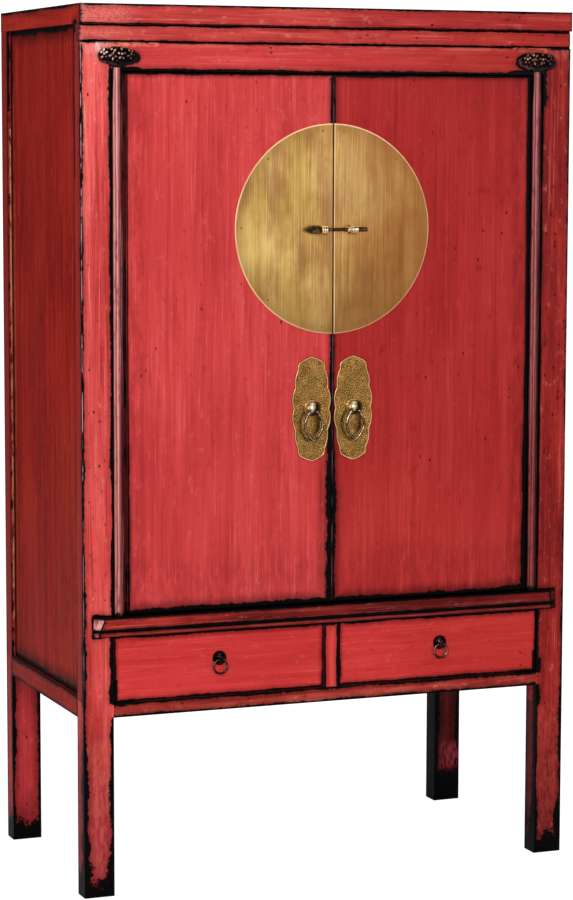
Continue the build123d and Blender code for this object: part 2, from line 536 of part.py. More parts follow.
# ---------------------------------------------------------------- lock pin, cut at the gap between the doors
with BuildPart() as lock_head:
    rod_x(-40, -LEAF_IN + 0.5, EYE_Y, EYE_Z, LOCK_R)
    with BuildSketch(Plane.XZ.offset(-EYE_Y - 3.4)):
        with BuildLine():
            Polyline((-34.5, EYE_Z + 5.6), (-42, EYE_Z + 9.2), (-51, EYE_Z + 8.8), (-LOCK_HEAD_END, EYE_Z),
                     (-51, EYE_Z - 8.8), (-42, EYE_Z - 9.2), (-34.5, EYE_Z - 5.6), close=True)
        make_face()
    extrude(amount=6.8)
    fillet(lock_head.edges().filter_by(Axis.Y), 1.5)
keep(lock_head, "lock_pin_head")

with BuildPart() as lock_tail:
    rod_x(LEAF_IN - 0.5, LOCK_TAIL_END - 1, EYE_Y, EYE_Z, LOCK_R)
    for x0, x1 in ((53.0, 63.0), (64.5, LOCK_TAIL_END)):
        rod_x(x0, x1, EYE_Y, EYE_Z, 4.8)
    chamfer(lock_tail.edges().filter_by(GeomType.CIRCLE).sort_by(Axis.X)[-1], 1.2)
keep(lock_tail, "lock_pin_tail")

# ---------------------------------------------------------------- drawers
TAIL_Z = (444.0, 484.0, 524.0)


for side, s in SIDES:
    xs = (s * DR_X0, s * DR_X1)
    yi = DR_Y0 + DR_T            # inner face of the front
    yt = DR_Y0 + 8.0             # how deep the dovetails reach

    x_low = (min(xs), max(xs) - DR_SIDE_T)      # low X of each side board
    with BuildPart() as drawer_front:
        slab(xs[0], xs[1], DR_Y0, yi, DR_Z0, DR_Z1)
        fillet(drawer_front.edges().filter_by(Axis.X).sort_by(Axis.Y)[:2], 1.5)
        for x0 in x_low:
            for z in TAIL_Z:
                with BuildSketch(Plane.YZ.offset(x0)):
                    with BuildLine():
                        Polyline((yt, z - 14), (yi, z - 10), (yi, z + 10), (yt, z + 14), close=True)
                    make_face()
                extrude(amount=DR_SIDE_T, mode=Mode.SUBTRACT)
        slab(xs[0] + s * 8, xs[1] - s * 8, yi - 4, yi, DR_BASE_Z, DR_BASE_Z + DR_BASE_T, Mode.SUBTRACT)
        rod_y(s * PULL_X, DR_Y0, yi, PULL_Z, 2.5, Mode.SUBTRACT)
    keep(drawer_front, f"{side}_drawer_front")

    with BuildPart() as drawer_sides:
        for x0 in x_low:
            slab(x0, x0 + DR_SIDE_T, yi, YF + DR_LEN, 424, DR_SIDE_TOP)
            for z in TAIL_Z:
                with BuildSketch(Plane.YZ.offset(x0)):
                    with BuildLine():
                        Polyline((yt, z - 14), (yi, z - 10), (yi, z + 10), (yt, z + 14), close=True)
                    make_face()
                extrude(amount=DR_SIDE_T)
        # grooves for the base and housings for the back
        slab(xs[0] + s * 8, xs[1] - s * 8, yi - 5, YF + DR_LEN, DR_BASE_Z, DR_BASE_Z + DR_BASE_T, Mode.SUBTRACT)
        slab(xs[0] + s * 8, xs[1] - s * 8, DR_BACK_Y, DR_BACK_Y + 12, DR_BASE_Z + DR_BASE_T, DR_SIDE_TOP - 5, Mode.SUBTRACT)
    keep(drawer_sides, f"{side}_drawer_sides")

    with BuildPart() as drawer_back:
        slab(xs[0] + s * 8, xs[1] - s * 8, DR_BACK_Y, DR_BACK_Y + 12, DR_BASE_Z + DR_BASE_T, DR_SIDE_TOP - 5)
    keep(drawer_back, f"{side}_drawer_back")

    with BuildPart() as drawer_base:
        slab(xs[0] + s * 8, xs[1] - s * 8, yi - 4, YF + DR_LEN - 2, DR_BASE_Z, DR_BASE_Z + DR_BASE_T)
    keep(drawer_base, f"{side}_drawer_base")

    px = s * PULL_X
    with BuildPart() as pull:
        with Locations((px, DR_Y0 + 1.5, PULL_Z)):
            Sphere(PULL_R)
        rod_y(px, DR_Y0 - 1.5, DR_Y0, PULL_Z, PULL_R + 1.3)
        slab(px - 30, px + 30, DR_Y0, DR_Y0 + 30, PULL_Z - 30, PULL_Z + 30, Mode.SUBTRACT)
        for k in (-1, 1):
            rod_x(px + k * 4.6, px + k * 20, PULL_AX_Y, PULL_AX_Z, 6.4, Mode.SUBTRACT)
        rod_x(px - 10, px + 10, PULL_AX_Y, PULL_AX_Z, 2.7, Mode.SUBTRACT)
        rod_y(px, DR_Y0 - 2, yi, PULL_Z, 2.5)
    keep(pull, f"{side}_drawer_boss")

    with BuildPart() as pull_ring:
        half = 5.6                       # straight part that turns in the boss
        rise = math.sqrt(PULL_RING_R**2 - half**2)
        with BuildLine(Plane.XZ.offset(-PULL_AX_Y)):
            Line((px - half, PULL_AX_Z), (px + half, PULL_AX_Z))
            ThreePointArc((px + half, PULL_AX_Z), (px, PULL_AX_Z - rise - PULL_RING_R), (px - half, PULL_AX_Z))
        with BuildSketch(Plane.YZ.offset(px)):
            with Locations((PULL_AX_Y, PULL_AX_Z)):
                Circle(2.4)
        sweep(transition=Transition.ROUND)
    keep(pull_ring, f"{side}_drawer_ring")
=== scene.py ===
import math

import bmesh
import bpy
import numpy as np
from mathutils import Matrix, Vector
from mathutils.geometry import delaunay_2d_cdt


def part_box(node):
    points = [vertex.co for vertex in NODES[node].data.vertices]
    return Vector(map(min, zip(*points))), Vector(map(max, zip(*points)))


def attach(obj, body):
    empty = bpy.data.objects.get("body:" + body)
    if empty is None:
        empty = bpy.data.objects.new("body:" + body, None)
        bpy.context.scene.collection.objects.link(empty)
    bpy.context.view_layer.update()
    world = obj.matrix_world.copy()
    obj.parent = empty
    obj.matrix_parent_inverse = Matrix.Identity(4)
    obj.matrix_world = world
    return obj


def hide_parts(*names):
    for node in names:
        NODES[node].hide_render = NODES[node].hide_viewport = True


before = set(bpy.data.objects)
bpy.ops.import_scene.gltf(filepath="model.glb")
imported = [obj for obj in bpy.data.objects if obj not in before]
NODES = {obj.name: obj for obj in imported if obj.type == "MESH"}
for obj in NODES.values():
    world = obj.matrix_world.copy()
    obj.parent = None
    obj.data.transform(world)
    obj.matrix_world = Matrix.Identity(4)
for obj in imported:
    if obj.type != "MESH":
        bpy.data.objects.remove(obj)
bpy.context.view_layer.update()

SCENE = bpy.context.scene
SCENE.view_settings.view_transform = "Standard"
SCENE.view_settings.look = "None"

YF, YB = -0.285, 0.307        # front and back planes of the posts
HX, IX = 0.570, 0.503         # outer and inner faces of the posts


def srgb(r, g, b):
    """8-bit display colour to linear."""
    def one(c):
        c /= 255.0
        return c / 12.92 if c <= 0.04045 else ((c + 0.055) / 1.055) ** 2.4
    return (one(r), one(g), one(b), 1.0)


# ------------------------------------------------------------------ node helper
class Tree:
    def __init__(self, name):
        self.mat = bpy.data.materials.new(name)
        self.mat.use_nodes = True
        self.nt = self.mat.node_tree
        self.nt.nodes.clear()
        self.out = self.nt.nodes.new("ShaderNodeOutputMaterial")
        self.bsdf = self.nt.nodes.new("ShaderNodeBsdfPrincipled")
        self.nt.links.new(self.bsdf.outputs[0], self.out.inputs["Surface"])
        tc = self.nt.nodes.new("ShaderNodeTexCoord")
        self.P = tc.outputs["Object"]
        sep = self.nt.nodes.new("ShaderNodeSeparateXYZ")
        self.nt.links.new(self.P, sep.inputs[0])
        self.x, self.y, self.z = sep.outputs

    def put(self, sock, v):
        if isinstance(v, bpy.types.NodeSocket):
            self.nt.links.new(v, sock)
        elif v is not None:
            sock.default_value = v

    def m(self, op, a, b=None, c=None, clamp=False):
        n = self.nt.nodes.new("ShaderNodeMath")
        n.operation = op
        n.use_clamp = clamp
        for i, v in enumerate((a, b, c)):
            self.put(n.inputs[i], v)
        return n.outputs[0]

    def v(self, op, a, b=None, c=None):
        n = self.nt.nodes.new("ShaderNodeVectorMath")
        n.operation = op
        for i, q in enumerate((a, b, c)):
            if q is not None:
                self.put(n.inputs[i], q)
        return n.outputs["Value"] if op in ("LENGTH", "DOT_PRODUCT", "DISTANCE") else n.outputs[0]

    def at(self, scale, offset=(0.0, 0.0, 0.0)):
        return self.v("MULTIPLY_ADD", self.P, scale, offset)

    def noise(self, vec, scale=1.0, detail=4.0, rough=0.55, distort=0.0):
        n = self.nt.nodes.new("ShaderNodeTexNoise")
        self.put(n.inputs["Vector"], vec)
        n.inputs["Scale"].default_value = scale
        n.inputs["Detail"].default_value = detail
        n.inputs["Roughness"].default_value = rough
        n.inputs["Distortion"].default_value = distort
        return n.outputs[0]

    def voronoi(self, vec, scale=1.0, rand=1.0):
        n = self.nt.nodes.new("ShaderNodeTexVoronoi")
        self.put(n.inputs["Vector"], vec)
        n.inputs["Scale"].default_value = scale
        n.inputs["Randomness"].default_value = rand
        return n

    def step(self, v, lo, hi, a=0.0, b=1.0):
        n = self.nt.nodes.new("ShaderNodeMapRange")
        n.interpolation_type = "SMOOTHSTEP"
        self.put(n.inputs["Value"], v)
        for key, q in (("From Min", lo), ("From Max", hi), ("To Min", a), ("To Max", b)):
            self.put(n.inputs[key], q)
        return n.outputs[0]

    def mix(self, f, a, b, kind="MIX"):
        n = self.nt.nodes.new("ShaderNodeMix")
        n.data_type = "RGBA"
        n.blend_type = kind
        n.clamp_factor = True
        self.put(n.inputs[0], f)
        self.put(n.inputs[6], a)
        self.put(n.inputs[7], b)
        return n.outputs[2]

    def ramp(self, f, stops):
        n = self.nt.nodes.new("ShaderNodeValToRGB")
        self.put(n.inputs[0], f)
        e = n.color_ramp.elements
        e[0].position, e[0].color = stops[0]
        e[1].position, e[1].color = stops[-1]
        for p, c in stops[1:-1]:
            k = e.new(p)
            k.color = c
        return n.outputs[0]

    def bump(self, height, distance, strength=1.0, normal=None):
        n = self.nt.nodes.new("ShaderNodeBump")
        n.inputs["Strength"].default_value = strength
        n.inputs["Distance"].default_value = distance
        self.put(n.inputs["Height"], height)
        if normal is not None:
            self.put(n.inputs["Normal"], normal)
        return n.outputs[0]

    def edge_metric(self, lo, hi, w):
        """Distance to the nearest edge of a box, seen on its faces, in units of that edge's width w (mm)."""
        a = []
        for i, p in enumerate((self.x, self.y, self.z)):
            k0, k1 = 1000.0 / w[2 * i], 1000.0 / w[2 * i + 1]
            d0 = self.m("MULTIPLY", self.m("SUBTRACT", p, lo[i]), k0)
            d1 = self.m("MULTIPLY", self.m("SUBTRACT", hi[i], p), k1)
            a.append(self.m("MINIMUM", d0, d1))
        small = self.m("MINIMUM", a[0], a[1])
        large = self.m("MAXIMUM", a[0], a[1])
        return self.m("MAXIMUM", small, self.m("MINIMUM", large, a[2]))

    def near_box(self, lo, hi, w):
        """Distance from a box, in units of w (mm)."""
        c = tuple((l + h) / 2 for l, h in zip(lo, hi))
        half = tuple((h - l) / 2 for l, h in zip(lo, hi))
        d = self.v("SUBTRACT", self.v("ABSOLUTE", self.v("SUBTRACT", self.P, c)), half)
        d = self.v("MAXIMUM", d, (0.0, 0.0, 0.0))
        return self.m("MULTIPLY", self.v("LENGTH", d), 1000.0 / w)


# ------------------------------------------------------------------ lacquer
BLACK = srgb(4, 3, 4)
PALETTES = {
    # deep, mid, light, pale streak; post_r and door_r are darker copies of post_l and door_l, painted shade for the
    # right side, which gets less light
    "post_l": (srgb(184, 56, 54), srgb(228, 88, 86), srgb(240, 112, 104), srgb(250, 176, 152)),
    "post_r": (srgb(120, 28, 26), srgb(154, 38, 36), srgb(180, 54, 46), srgb(212, 108, 90)),
    "post_b": (srgb(76, 20, 22), srgb(116, 34, 36), srgb(146, 50, 52), srgb(180, 88, 84)),
    "post_bl": (srgb(156, 42, 44), srgb(194, 56, 60), srgb(214, 74, 76), srgb(232, 122, 112)),
    "door_l": (srgb(183, 52, 54), srgb(207, 66, 66), srgb(219, 86, 84), srgb(234, 124, 118)),
    "door_r": (srgb(152, 33, 33), srgb(171, 42, 41), srgb(184, 53, 50), srgb(202, 80, 72)),
    "drawer": (srgb(190, 46, 46), srgb(212, 60, 59), srgb(224, 76, 72), srgb(236, 122, 108)),
    "cap": (srgb(164, 46, 42), srgb(202, 70, 66), srgb(224, 94, 86), srgb(244, 160, 142)),
    "brail": (srgb(122, 32, 28), srgb(181, 56, 50), srgb(205, 85, 72), srgb(234, 152, 120)),
    "side": (srgb(138, 24, 18), srgb(168, 33, 26), srgb(186, 46, 35), srgb(204, 94, 62)),
    "capside": (srgb(162, 36, 26), srgb(202, 50, 38), srgb(216, 68, 52), srgb(220, 110, 84)),
    "sill": (srgb(112, 26, 24), srgb(168, 46, 40), srgb(202, 74, 60), srgb(232, 146, 122)),
    "back": (srgb(84, 28, 22), srgb(104, 34, 28), srgb(120, 46, 36), srgb(140, 70, 52)),
}


def lacquer(name, lo, hi, w, grain="z", palette="post_l", near=(), ell=(), grow=(), seed=0.0, rag=1.0,
            smoke=0.5, wear=0.0, specks=0.5, mottle=0.5, rough=0.42, tints=(), clear=(), contrast=1.0, streak=0.25,
            planes=(), shade=(), spec=0.05):
    """Brushed red lacquer over black, worn, with black glaze along its edges.

    w      six widths of the glaze, mm, for the x-, x+, y-, y+, z-, z+ edges
    near   boxes whose surroundings are glazed too, as (low corner, high corner, width mm)
    ell    the same for ellipses in x and z, as (x, z, half width, half height, width mm)
    grow   (z where it starts, z where it is full, factor): how the glaze widens
    clear  boxes where there is no glaze, as (low corner, high corner, margin mm)
    shade  painted shade and light: colour that deepens, or lightens where the multiplier is above one, along an axis,
    as (axis, where it starts, where it is full, multiplier) shade  colour that deepens along an axis, as (axis, where
    it starts, where it is full, multiplier) tints  (low corner, high corner, spread mm, colour, strength, over the
    glaze, patch size per metre or 0)
    """
    t = Tree(name)
    deep, mid, light, pale = PALETTES[palette]
    dark = tuple(c * 0.30 for c in deep[:3]) + (1.0,)
    along = {"x": 0, "y": 1, "z": 2}[grain]
    off = (seed * 1.37, seed * 2.11, seed * 0.73)

    def grained(cross, run):
        s = [cross, cross, cross]
        s[along] = run
        return t.at(tuple(s), off)

    fine = t.noise(grained(400.0, 8.0), 1.0, 5.0, 0.62)
    midn = t.noise(grained(90.0, 3.0), 1.0, 4.0, 0.58, 0.5)
    broad = t.noise(grained(16.0, 2.0), 1.0, 3.0, 0.55, 0.8)
    cloud = t.noise(t.at((4.2, 4.2, 3.0), off), 1.0, 3.0, 0.5)
    mot = t.noise(grained(64.0, 34.0), 1.0, 6.0, 0.66)
    grit = t.noise(t.at((300.0,) * 3, off), 1.0, 2.0, 0.6)

    k = contrast
    tone = t.m("MULTIPLY_ADD", fine, 0.36 * k, t.m("MULTIPLY_ADD", midn, 0.40 * k, t.m("MULTIPLY", broad, 0.40 * k)))
    tone = t.m("ADD", tone, t.m("MULTIPLY_ADD", cloud, 0.34 * k, 0.5 - 0.75 * k))
    col = t.ramp(tone, [(0.30, deep), (0.50, mid), (0.70, light)])
    # thin pale brush lines and rubbed streaks
    line = t.step(t.m("MULTIPLY", fine, t.m("ADD", midn, 0.32)), 0.48, 0.66, 0.0, streak)
    col = t.mix(line, col, pale)
    # dark brush lines
    dk = t.step(t.m("MULTIPLY_ADD", fine, 0.55, t.m("MULTIPLY", midn, 0.6)), 0.44, 0.32, 0.0, 0.62)
    col = t.mix(dk, col, dark)
    # mottling: dirt held in the lacquer, and rubbed light patches
    col = t.mix(t.step(mot, 0.55, 0.78, 0.0, 0.75 * mottle), col, dark)
    col = t.mix(t.step(mot, 0.43, 0.28, 0.0, 0.40 * mottle), col, pale)
    # small dents filled with black
    cell = t.voronoi(grained(88.0, 52.0), 1.0)
    sepc = t.nt.nodes.new("ShaderNodeSeparateColor")
    t.nt.links.new(cell.outputs["Color"], sepc.inputs[0])
    rare = t.m("GREATER_THAN", sepc.outputs[0], 1.0 - 0.15 * specks)
    pick = t.step(cloud, 0.44, 0.54)
    dot = t.step(cell.outputs["Distance"], 0.27, 0.10)
    dot = t.m("MULTIPLY", t.m("MULTIPLY", dot, rare), pick)
    col = t.mix(t.m("MULTIPLY", dot, 0.9), col, srgb(44, 10, 11))

    def tint(col, over):
        for tlo, thi, spread, colour, strength, on_top, size in tints:
            if on_top != over:
                continue
            near_it = t.step(t.near_box(tlo, thi, spread), 1.0, 0.0)
            if size:
                n = t.noise(grained(size, size * 0.3), 1.0, 4.0, 0.65, 0.4)
                m = t.m("MULTIPLY", near_it, t.step(n, 0.40, 0.56, 0.0, strength))
            else:
                m = t.m("MULTIPLY", near_it, strength)
            col = t.mix(m, col, colour)
        return col

    # painted shade and light, graded along an axis
    for axis, a, b, rgb in shade:
        dim = t.mix(1.0, col, rgb + (1.0,), "MULTIPLY")
        col = t.mix(t.step((t.x, t.y, t.z)[axis], a, b), col, dim)
    col = tint(col, False)
    for normal, offset, pw, colour in planes:
        d = t.m("ABSOLUTE", t.m("ADD", t.v("DOT_PRODUCT", t.P, normal), offset))
        n = t.noise(t.at((150.0, 150.0, 60.0), off), 1.0, 4.0, 0.6)
        col = t.mix(t.m("MULTIPLY", t.step(d, 0.0008, 0.0004), t.step(n, 0.40, 0.58, 0.20, 0.95)), col, colour)

    # black glaze
    e = t.edge_metric(lo, hi, w)
    true = t.edge_metric(lo, hi, (1.0,) * 6)          # mm from the nearest edge
    for z0, z1, g in grow:
        e = t.m("DIVIDE", e, t.step(t.z, z0, z1, 1.0, g) if z0 < z1 else t.step(t.z, z1, z0, g, 1.0))
    for nlo, nhi, nw in near:
        e = t.m("MINIMUM", e, t.near_box(nlo, nhi, nw))
    for ex, ez, rx, rz, ew in ell:
        q = t.v("MULTIPLY", t.v("SUBTRACT", t.P, (ex / 1000, 0.0, ez / 1000)), (1000.0 / rx, 0.0, 1000.0 / rz))
        e = t.m("MINIMUM", e, t.m("MULTIPLY", t.m("SUBTRACT", t.v("LENGTH", q), 1.0), (rx + rz) * 0.5 / ew))
    for clo, chi, cw in clear:
        e = t.m("MAXIMUM", e, t.m("SUBTRACT", 4.0, t.m("MULTIPLY", t.near_box(clo, chi, cw), 4.0)))
    for normal, offset, pw, colour in planes:
        d = t.m("ADD", t.v("DOT_PRODUCT", t.P, normal), offset)
        beside = t.m("MAXIMUM", t.m("MULTIPLY", t.m("SUBTRACT", 0.0008, d), 1e5),
                     t.m("MULTIPLY", t.m("SUBTRACT", d, 0.0006), 1000.0 / pw))
        e = t.m("MINIMUM", e, beside)
    slow = t.noise(t.at((8.0, 8.0, 8.0), off), 1.0, 2.0, 0.5)
    ragged = t.noise(t.at((26.0, 26.0, 26.0), off), 1.0, 4.0, 0.6, 0.3)
    nick = t.noise(t.at((120.0, 120.0, 120.0), off), 1.0, 4.0, 0.6)
    shift = t.m("MULTIPLY_ADD", t.m("SUBTRACT", ragged, 0.5), 1.7 * rag,
                t.m("MULTIPLY", t.m("SUBTRACT", slow, 0.5), 1.6 * rag))
    shift = t.m("ADD", shift, t.m("MULTIPLY", t.m("SUBTRACT", nick, 0.5), 1.3 * rag))
    e2 = t.m("MINIMUM", t.m("ADD", e, shift), t.m("MULTIPLY", e, 2.6))
    # smoky halo where the glaze was wiped thin
    halo = t.step(t.m("MULTIPLY_ADD", midn, 1.2, e2), 1.2, 4.2, 0.85 * smoke, 0.0)
    col = t.mix(halo, col, dark)
    black = t.step(e2, 0.80, 1.20, 1.0, 0.0)
    # glaze rubbed off along the sharp edges
    rubn = t.noise(t.at((60.0, 60.0, 60.0), tuple(o + 5.0 for o in off)), 1.0, 4.0, 0.6)
    rub = t.m("MULTIPLY", t.step(rubn, 0.50, 0.60), t.step(true, 2.6, 1.2))
    rub = t.m("MULTIPLY", rub, wear)
    black = t.m("SUBTRACT", black, rub, clamp=True)
    col = t.mix(rub, col, pale)
    base = t.mix(black, col, t.mix(t.step(grit, 0.56, 0.74, 0.0, 0.5), BLACK, srgb(30, 15, 14)))
    base = tint(base, True)
    t.put(t.bsdf.inputs["Base Color"], base)
    r = t.m("MULTIPLY_ADD", t.m("SUBTRACT", fine, 0.5), 0.24, rough)
    r = t.m("ADD", r, t.m("MULTIPLY", t.m("SUBTRACT", mot, 0.5), 0.22))
    t.put(t.bsdf.inputs["Roughness"], t.m("MAXIMUM", r, 0.2))
    t.bsdf.inputs["Specular IOR Level"].default_value = spec
    h = t.m("MULTIPLY_ADD", fine, 0.5, t.m("MULTIPLY", midn, 0.6))
    h = t.m("ADD", h, t.m("MULTIPLY", mot, 0.5))
    h = t.m("SUBTRACT", h, t.m("MULTIPLY", dot, 1.2))
    h = t.m("SUBTRACT", h, t.m("MULTIPLY", black, 0.35))
    t.put(t.bsdf.inputs["Normal"], t.bump(h, 0.0006, 0.5))
    return t.mat


def rod_lacquer(name, axis, palette, seed, low):
    """Rubbed lacquer of a turned bead: pale along its crown, with two painted highlight bands left of the front,
    painted shade darkening to black on its right, and black in the hollows beside it.
    """
    t = Tree(name)
    off = (seed * 1.37, seed * 2.11, seed * 0.73)
    dark, body, rose, highlight_tone = palette
    fine = t.noise(t.at((380.0, 380.0, 5.0), off), 1.0, 4.0, 0.6)
    midn = t.noise(t.at((150.0, 150.0, 7.0), off), 1.0, 3.0, 0.6, 0.5)
    blot = t.noise(t.at((60.0, 60.0, 22.0), off), 1.0, 5.0, 0.65)
    # angle round the bead: -1 at its left, 0 at the front, +1 at its right
    ang = t.m("DIVIDE", t.m("ARCTAN2", t.m("SUBTRACT", t.x, axis), t.m("SUBTRACT", -0.282, t.y)), math.pi / 2)
    u = t.m("ADD", ang, t.m("MULTIPLY", t.m("SUBTRACT", midn, 0.5), 0.34))
    # painted highlights at two angles left of the front, painted shade to black towards the right
    col = t.ramp(t.m("MULTIPLY_ADD", u, 0.5, 0.5),
                 [(0.01, dark), (0.07, rose), (0.15, highlight_tone), (0.24, rose), (0.30, body), (0.36, highlight_tone), (0.44, rose),
                  (0.52, body), (0.64, dark), (0.80, dark), (0.93, BLACK)])
    col = t.mix(t.step(fine, 0.52, 0.66, 0.0, 0.5), col, highlight_tone)
    col = t.mix(t.step(blot, 0.52, 0.68, 0.0, 0.75), col, body)
    col = t.mix(t.step(blot, 0.42, 0.28, 0.0, 0.6), col, dark)
    # deeper in colour towards its foot
    col = t.mix(t.step(t.m("MULTIPLY_ADD", t.m("SUBTRACT", blot, 0.5), 0.5, t.z), 1.40, 0.72), col,
                t.mix(1.0, col, low + (1.0,), "MULTIPLY"))
    ends = t.m("MINIMUM", t.m("MULTIPLY", t.m("SUBTRACT", t.z, 0.609), 70.0), t.m("MULTIPLY", t.m("SUBTRACT", 1.769, t.z), 500.0))
    ends = t.m("ADD", ends, t.m("MULTIPLY", t.m("SUBTRACT", blot, 0.5), 2.4))
    col = t.mix(t.step(ends, 0.9, 0.4), col, BLACK)
    # black closes in on the bead towards its top, under the carved block
    close = t.m("SUBTRACT", t.m("ABSOLUTE", t.m("ADD", u, 0.24)), t.step(t.z, 1.745, 1.590, 0.42, 1.35))
    col = t.mix(t.step(close, -0.05, 0.07, 0.0, 0.92), col, BLACK)
    back = t.step(t.y, -0.2795, -0.2775)
    col = t.mix(back, col, BLACK)
    t.put(t.bsdf.inputs["Base Color"], col)
    t.put(t.bsdf.inputs["Roughness"], t.m("MULTIPLY_ADD", blot, 0.3, 0.22))
    t.bsdf.inputs["Specular IOR Level"].default_value = 0.2
    t.put(t.bsdf.inputs["Normal"], t.bump(t.m("ADD", fine, blot), 0.0006, 0.5))
    return t.mat


def paint(node, mat):
    o = NODES[node]
    o.data.materials.clear()
    o.data.materials.append(mat)


def mm(*v):
    return tuple(c / 1000.0 for c in v)


FULL = {n: tuple(tuple(float(q) for q in c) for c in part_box(n)) for n in NODES}
SILL = (mm(-546, -320, 568), mm(546, -280, 609))
# lilac: painted highlight on the rounded outer corners of the posts
LILAC_HIGHLIGHT = srgb(206, 160, 170)
SALMON = srgb(240, 160, 124)
ROSE = srgb(240, 150, 150)

# front posts
BRICK = srgb(164, 38, 30)
for s, side, pal in ((-1, "left", "post_l"), (1, "right", "post_r")):
    lo, hi = FULL[f"front_{side}_post"]
    w = (4.2, 4.6, 7.5, 3.0, 10.5, 3.0) if s < 0 else (2.2, 4.0, 6.0, 3.0, 10.5, 3.0)
    gap = sorted((s * 501.5, s * (506.0 if s < 0 else 505.0)))
    high = sorted((s * 498.5, s * 503.5))
    corner = sorted((s * 569.0, s * 571.0))
    top = sorted((s * 512.0, s * 566.0))
    joint = sorted((s * 494.0, s * 516.0))
    flank = sorted((s * 569.3, s * 571.0))
    rub = srgb(236, 118, 96) if s < 0 else srgb(196, 78, 62)
    # the lilac tints along each post's outer corner are a painted highlight on its rounded edge
    tints = [(mm(corner[0], -290, 900), mm(corner[1], -284, 1819), 1.0, LILAC_HIGHLIGHT, 0.8, True, 60.0),
             (mm(corner[0], -290, 440), mm(corner[1], -284, 900), 0.9, LILAC_HIGHLIGHT, 0.4, True, 60.0),
             (mm(top[0], -290, 1806), mm(top[1], -280, 1817), 18.0, ROSE if s < 0 else srgb(204, 96, 88), 0.5, False, 130.0),
             (mm(s * 538 - 8, -290, 60), mm(s * 538 + 14, -280, 330), 22.0, rub, 0.30, False, 120.0),
             (mm(flank[0], -284.0, 425), mm(flank[1], -230, 1860), 0.4, BRICK, 0.85, False, 0.0)]
    if s < 0:
        tints += [(mm(-534, -290, 1803), mm(-530, -284, 1816), 6.0, srgb(250, 212, 206), 0.85, True, 360.0),
                  (mm(-537, -290, 1776), mm(-533, -284, 1800), 5.0, srgb(242, 156, 148), 0.45, True, 500.0),
                  (mm(-526, -290, 1812), mm(-503, -284, 1817), 6.0, srgb(244, 170, 152), 0.65, True, 420.0)]
    else:
        tints += [(mm(joint[0], -290, 1814), mm(joint[1], -284, 1818), 5.0, srgb(214, 104, 78), 0.8, True, 60.0),
                  (mm(502.5, -278, 60), mm(503.5, -240, 350), 0.6, srgb(74, 22, 28), 0.8, False, 0.0),
                  (mm(502.5, -268, 110), mm(503.5, -258, 330), 6.0, srgb(120, 48, 58), 0.5, False, 60.0)]
    paint(f"front_{side}_post", lacquer(
        f"lacquer_front_{side}_post", lo, hi, w, "z", pal,
        near=[(SILL[0], SILL[1], 4.2),
              (mm(gap[0], -286, 424), mm(gap[1], -280, 566), 6.5 if s < 0 else 4.0),
              (mm(min(gap) - 4, -286, 423), mm(max(gap) + 4, -280, 448), 6.0),
              (mm(high[0], -286, 1700), mm(high[1], -280, 1765), 2.8 if s < 0 else 6.0),
              (mm(-503.5, -286, 40), mm(-502.5, -280, 386), 6.4) if s < 0 else
              (mm(502.5, -286, 352), mm(504.5, -280, 388), 7.5),
              (mm(-575, -248, 1846), mm(-569, -236, 1860), 6.0),
              (mm(-575, -290, 1820.5), mm(575, -284, 1826), 2.4),
              (mm(-575, -240, 1540), mm(-569, -236, 1862), 4.0)],
        # black round the right end of the right carved block: glaze, and painted shade on its right side
        ell=[] if s < 0 else [(485.0, 1789, 42.0, 20.0, 3.2)],
        shade=[(2, 1.62, 1.25, (0.82, 0.68, 0.68)), (2, 0.98, 0.72, (1.16, 1.26, 1.22)),
               (2, 0.46, 0.12, (0.53, 0.33, 0.52))] if s < 0 else [(2, 0.46, 0.12, (0.82, 0.95, 1.0))],
        grow=[(0.70, 0.40, 1.55), (0.34, 0.20, 1.3), (0.15, 0.05, 2.1)], seed=3.0 + s, rag=1.3, specks=1.4 if s < 0 else 2.6, mottle=1.0 if s < 0 else 1.6,
        clear=[(mm(-571, -262, 1790), mm(-569.5, -256, 1840), 2.0),
               (mm(joint[0], -290, 1806), mm(joint[1], -284, 1815.5), 3.4),
              (mm(joint[0], -290, 394), mm(joint[1], -284, 415), 3.4)],
        tints=tints, contrast=1.45 if s < 0 else 1.7, streak=0.55))
    lo, hi = FULL[f"back_{side}_post"]
    thick = [(0.60, 0.36, 1.5)] if s < 0 else [(0.60, 0.36, 2.2)]
    paint(f"back_{side}_post", lacquer(
        f"lacquer_back_{side}_post", lo, hi, (5.0, 5.0, 4.0, 4.0, 30.0, 0.5), "z",
        "post_b" if s > 0 else "post_bl", grow=thick, seed=7.0 + s, specks=0.9, mottle=0.8, smoke=0.8,
        tints=[(mm(s * 570 - 0.7, 250, 430), mm(s * 570 + 0.7, 310, 1860), 0.4, BRICK, 0.9, False, 0.0),
               (mm(s * 542 - 8, 255, 96), mm(s * 542 + 12, 262, 128), 26.0, srgb(168, 58, 70), 0.85 if s > 0 else 0.0,
                True, 200.0),
               (mm(502.5, 250, -2), mm(503.5, 310, 426), 0.6, BLACK, 0.92, True, 0.0),
               (mm(min(s * 561, s * 571), 258.5, 470), mm(max(s * 561, s * 571), 259.5, 1680), 0.5, srgb(150, 48, 36), 0.9, True, 90.0),
               (mm(min(s * 563.5, s * 566), 258.5, 520), mm(max(s * 563.5, s * 566), 259.5, 1640), 0.8, srgb(212, 142, 104), 0.8, True, 90.0)]))

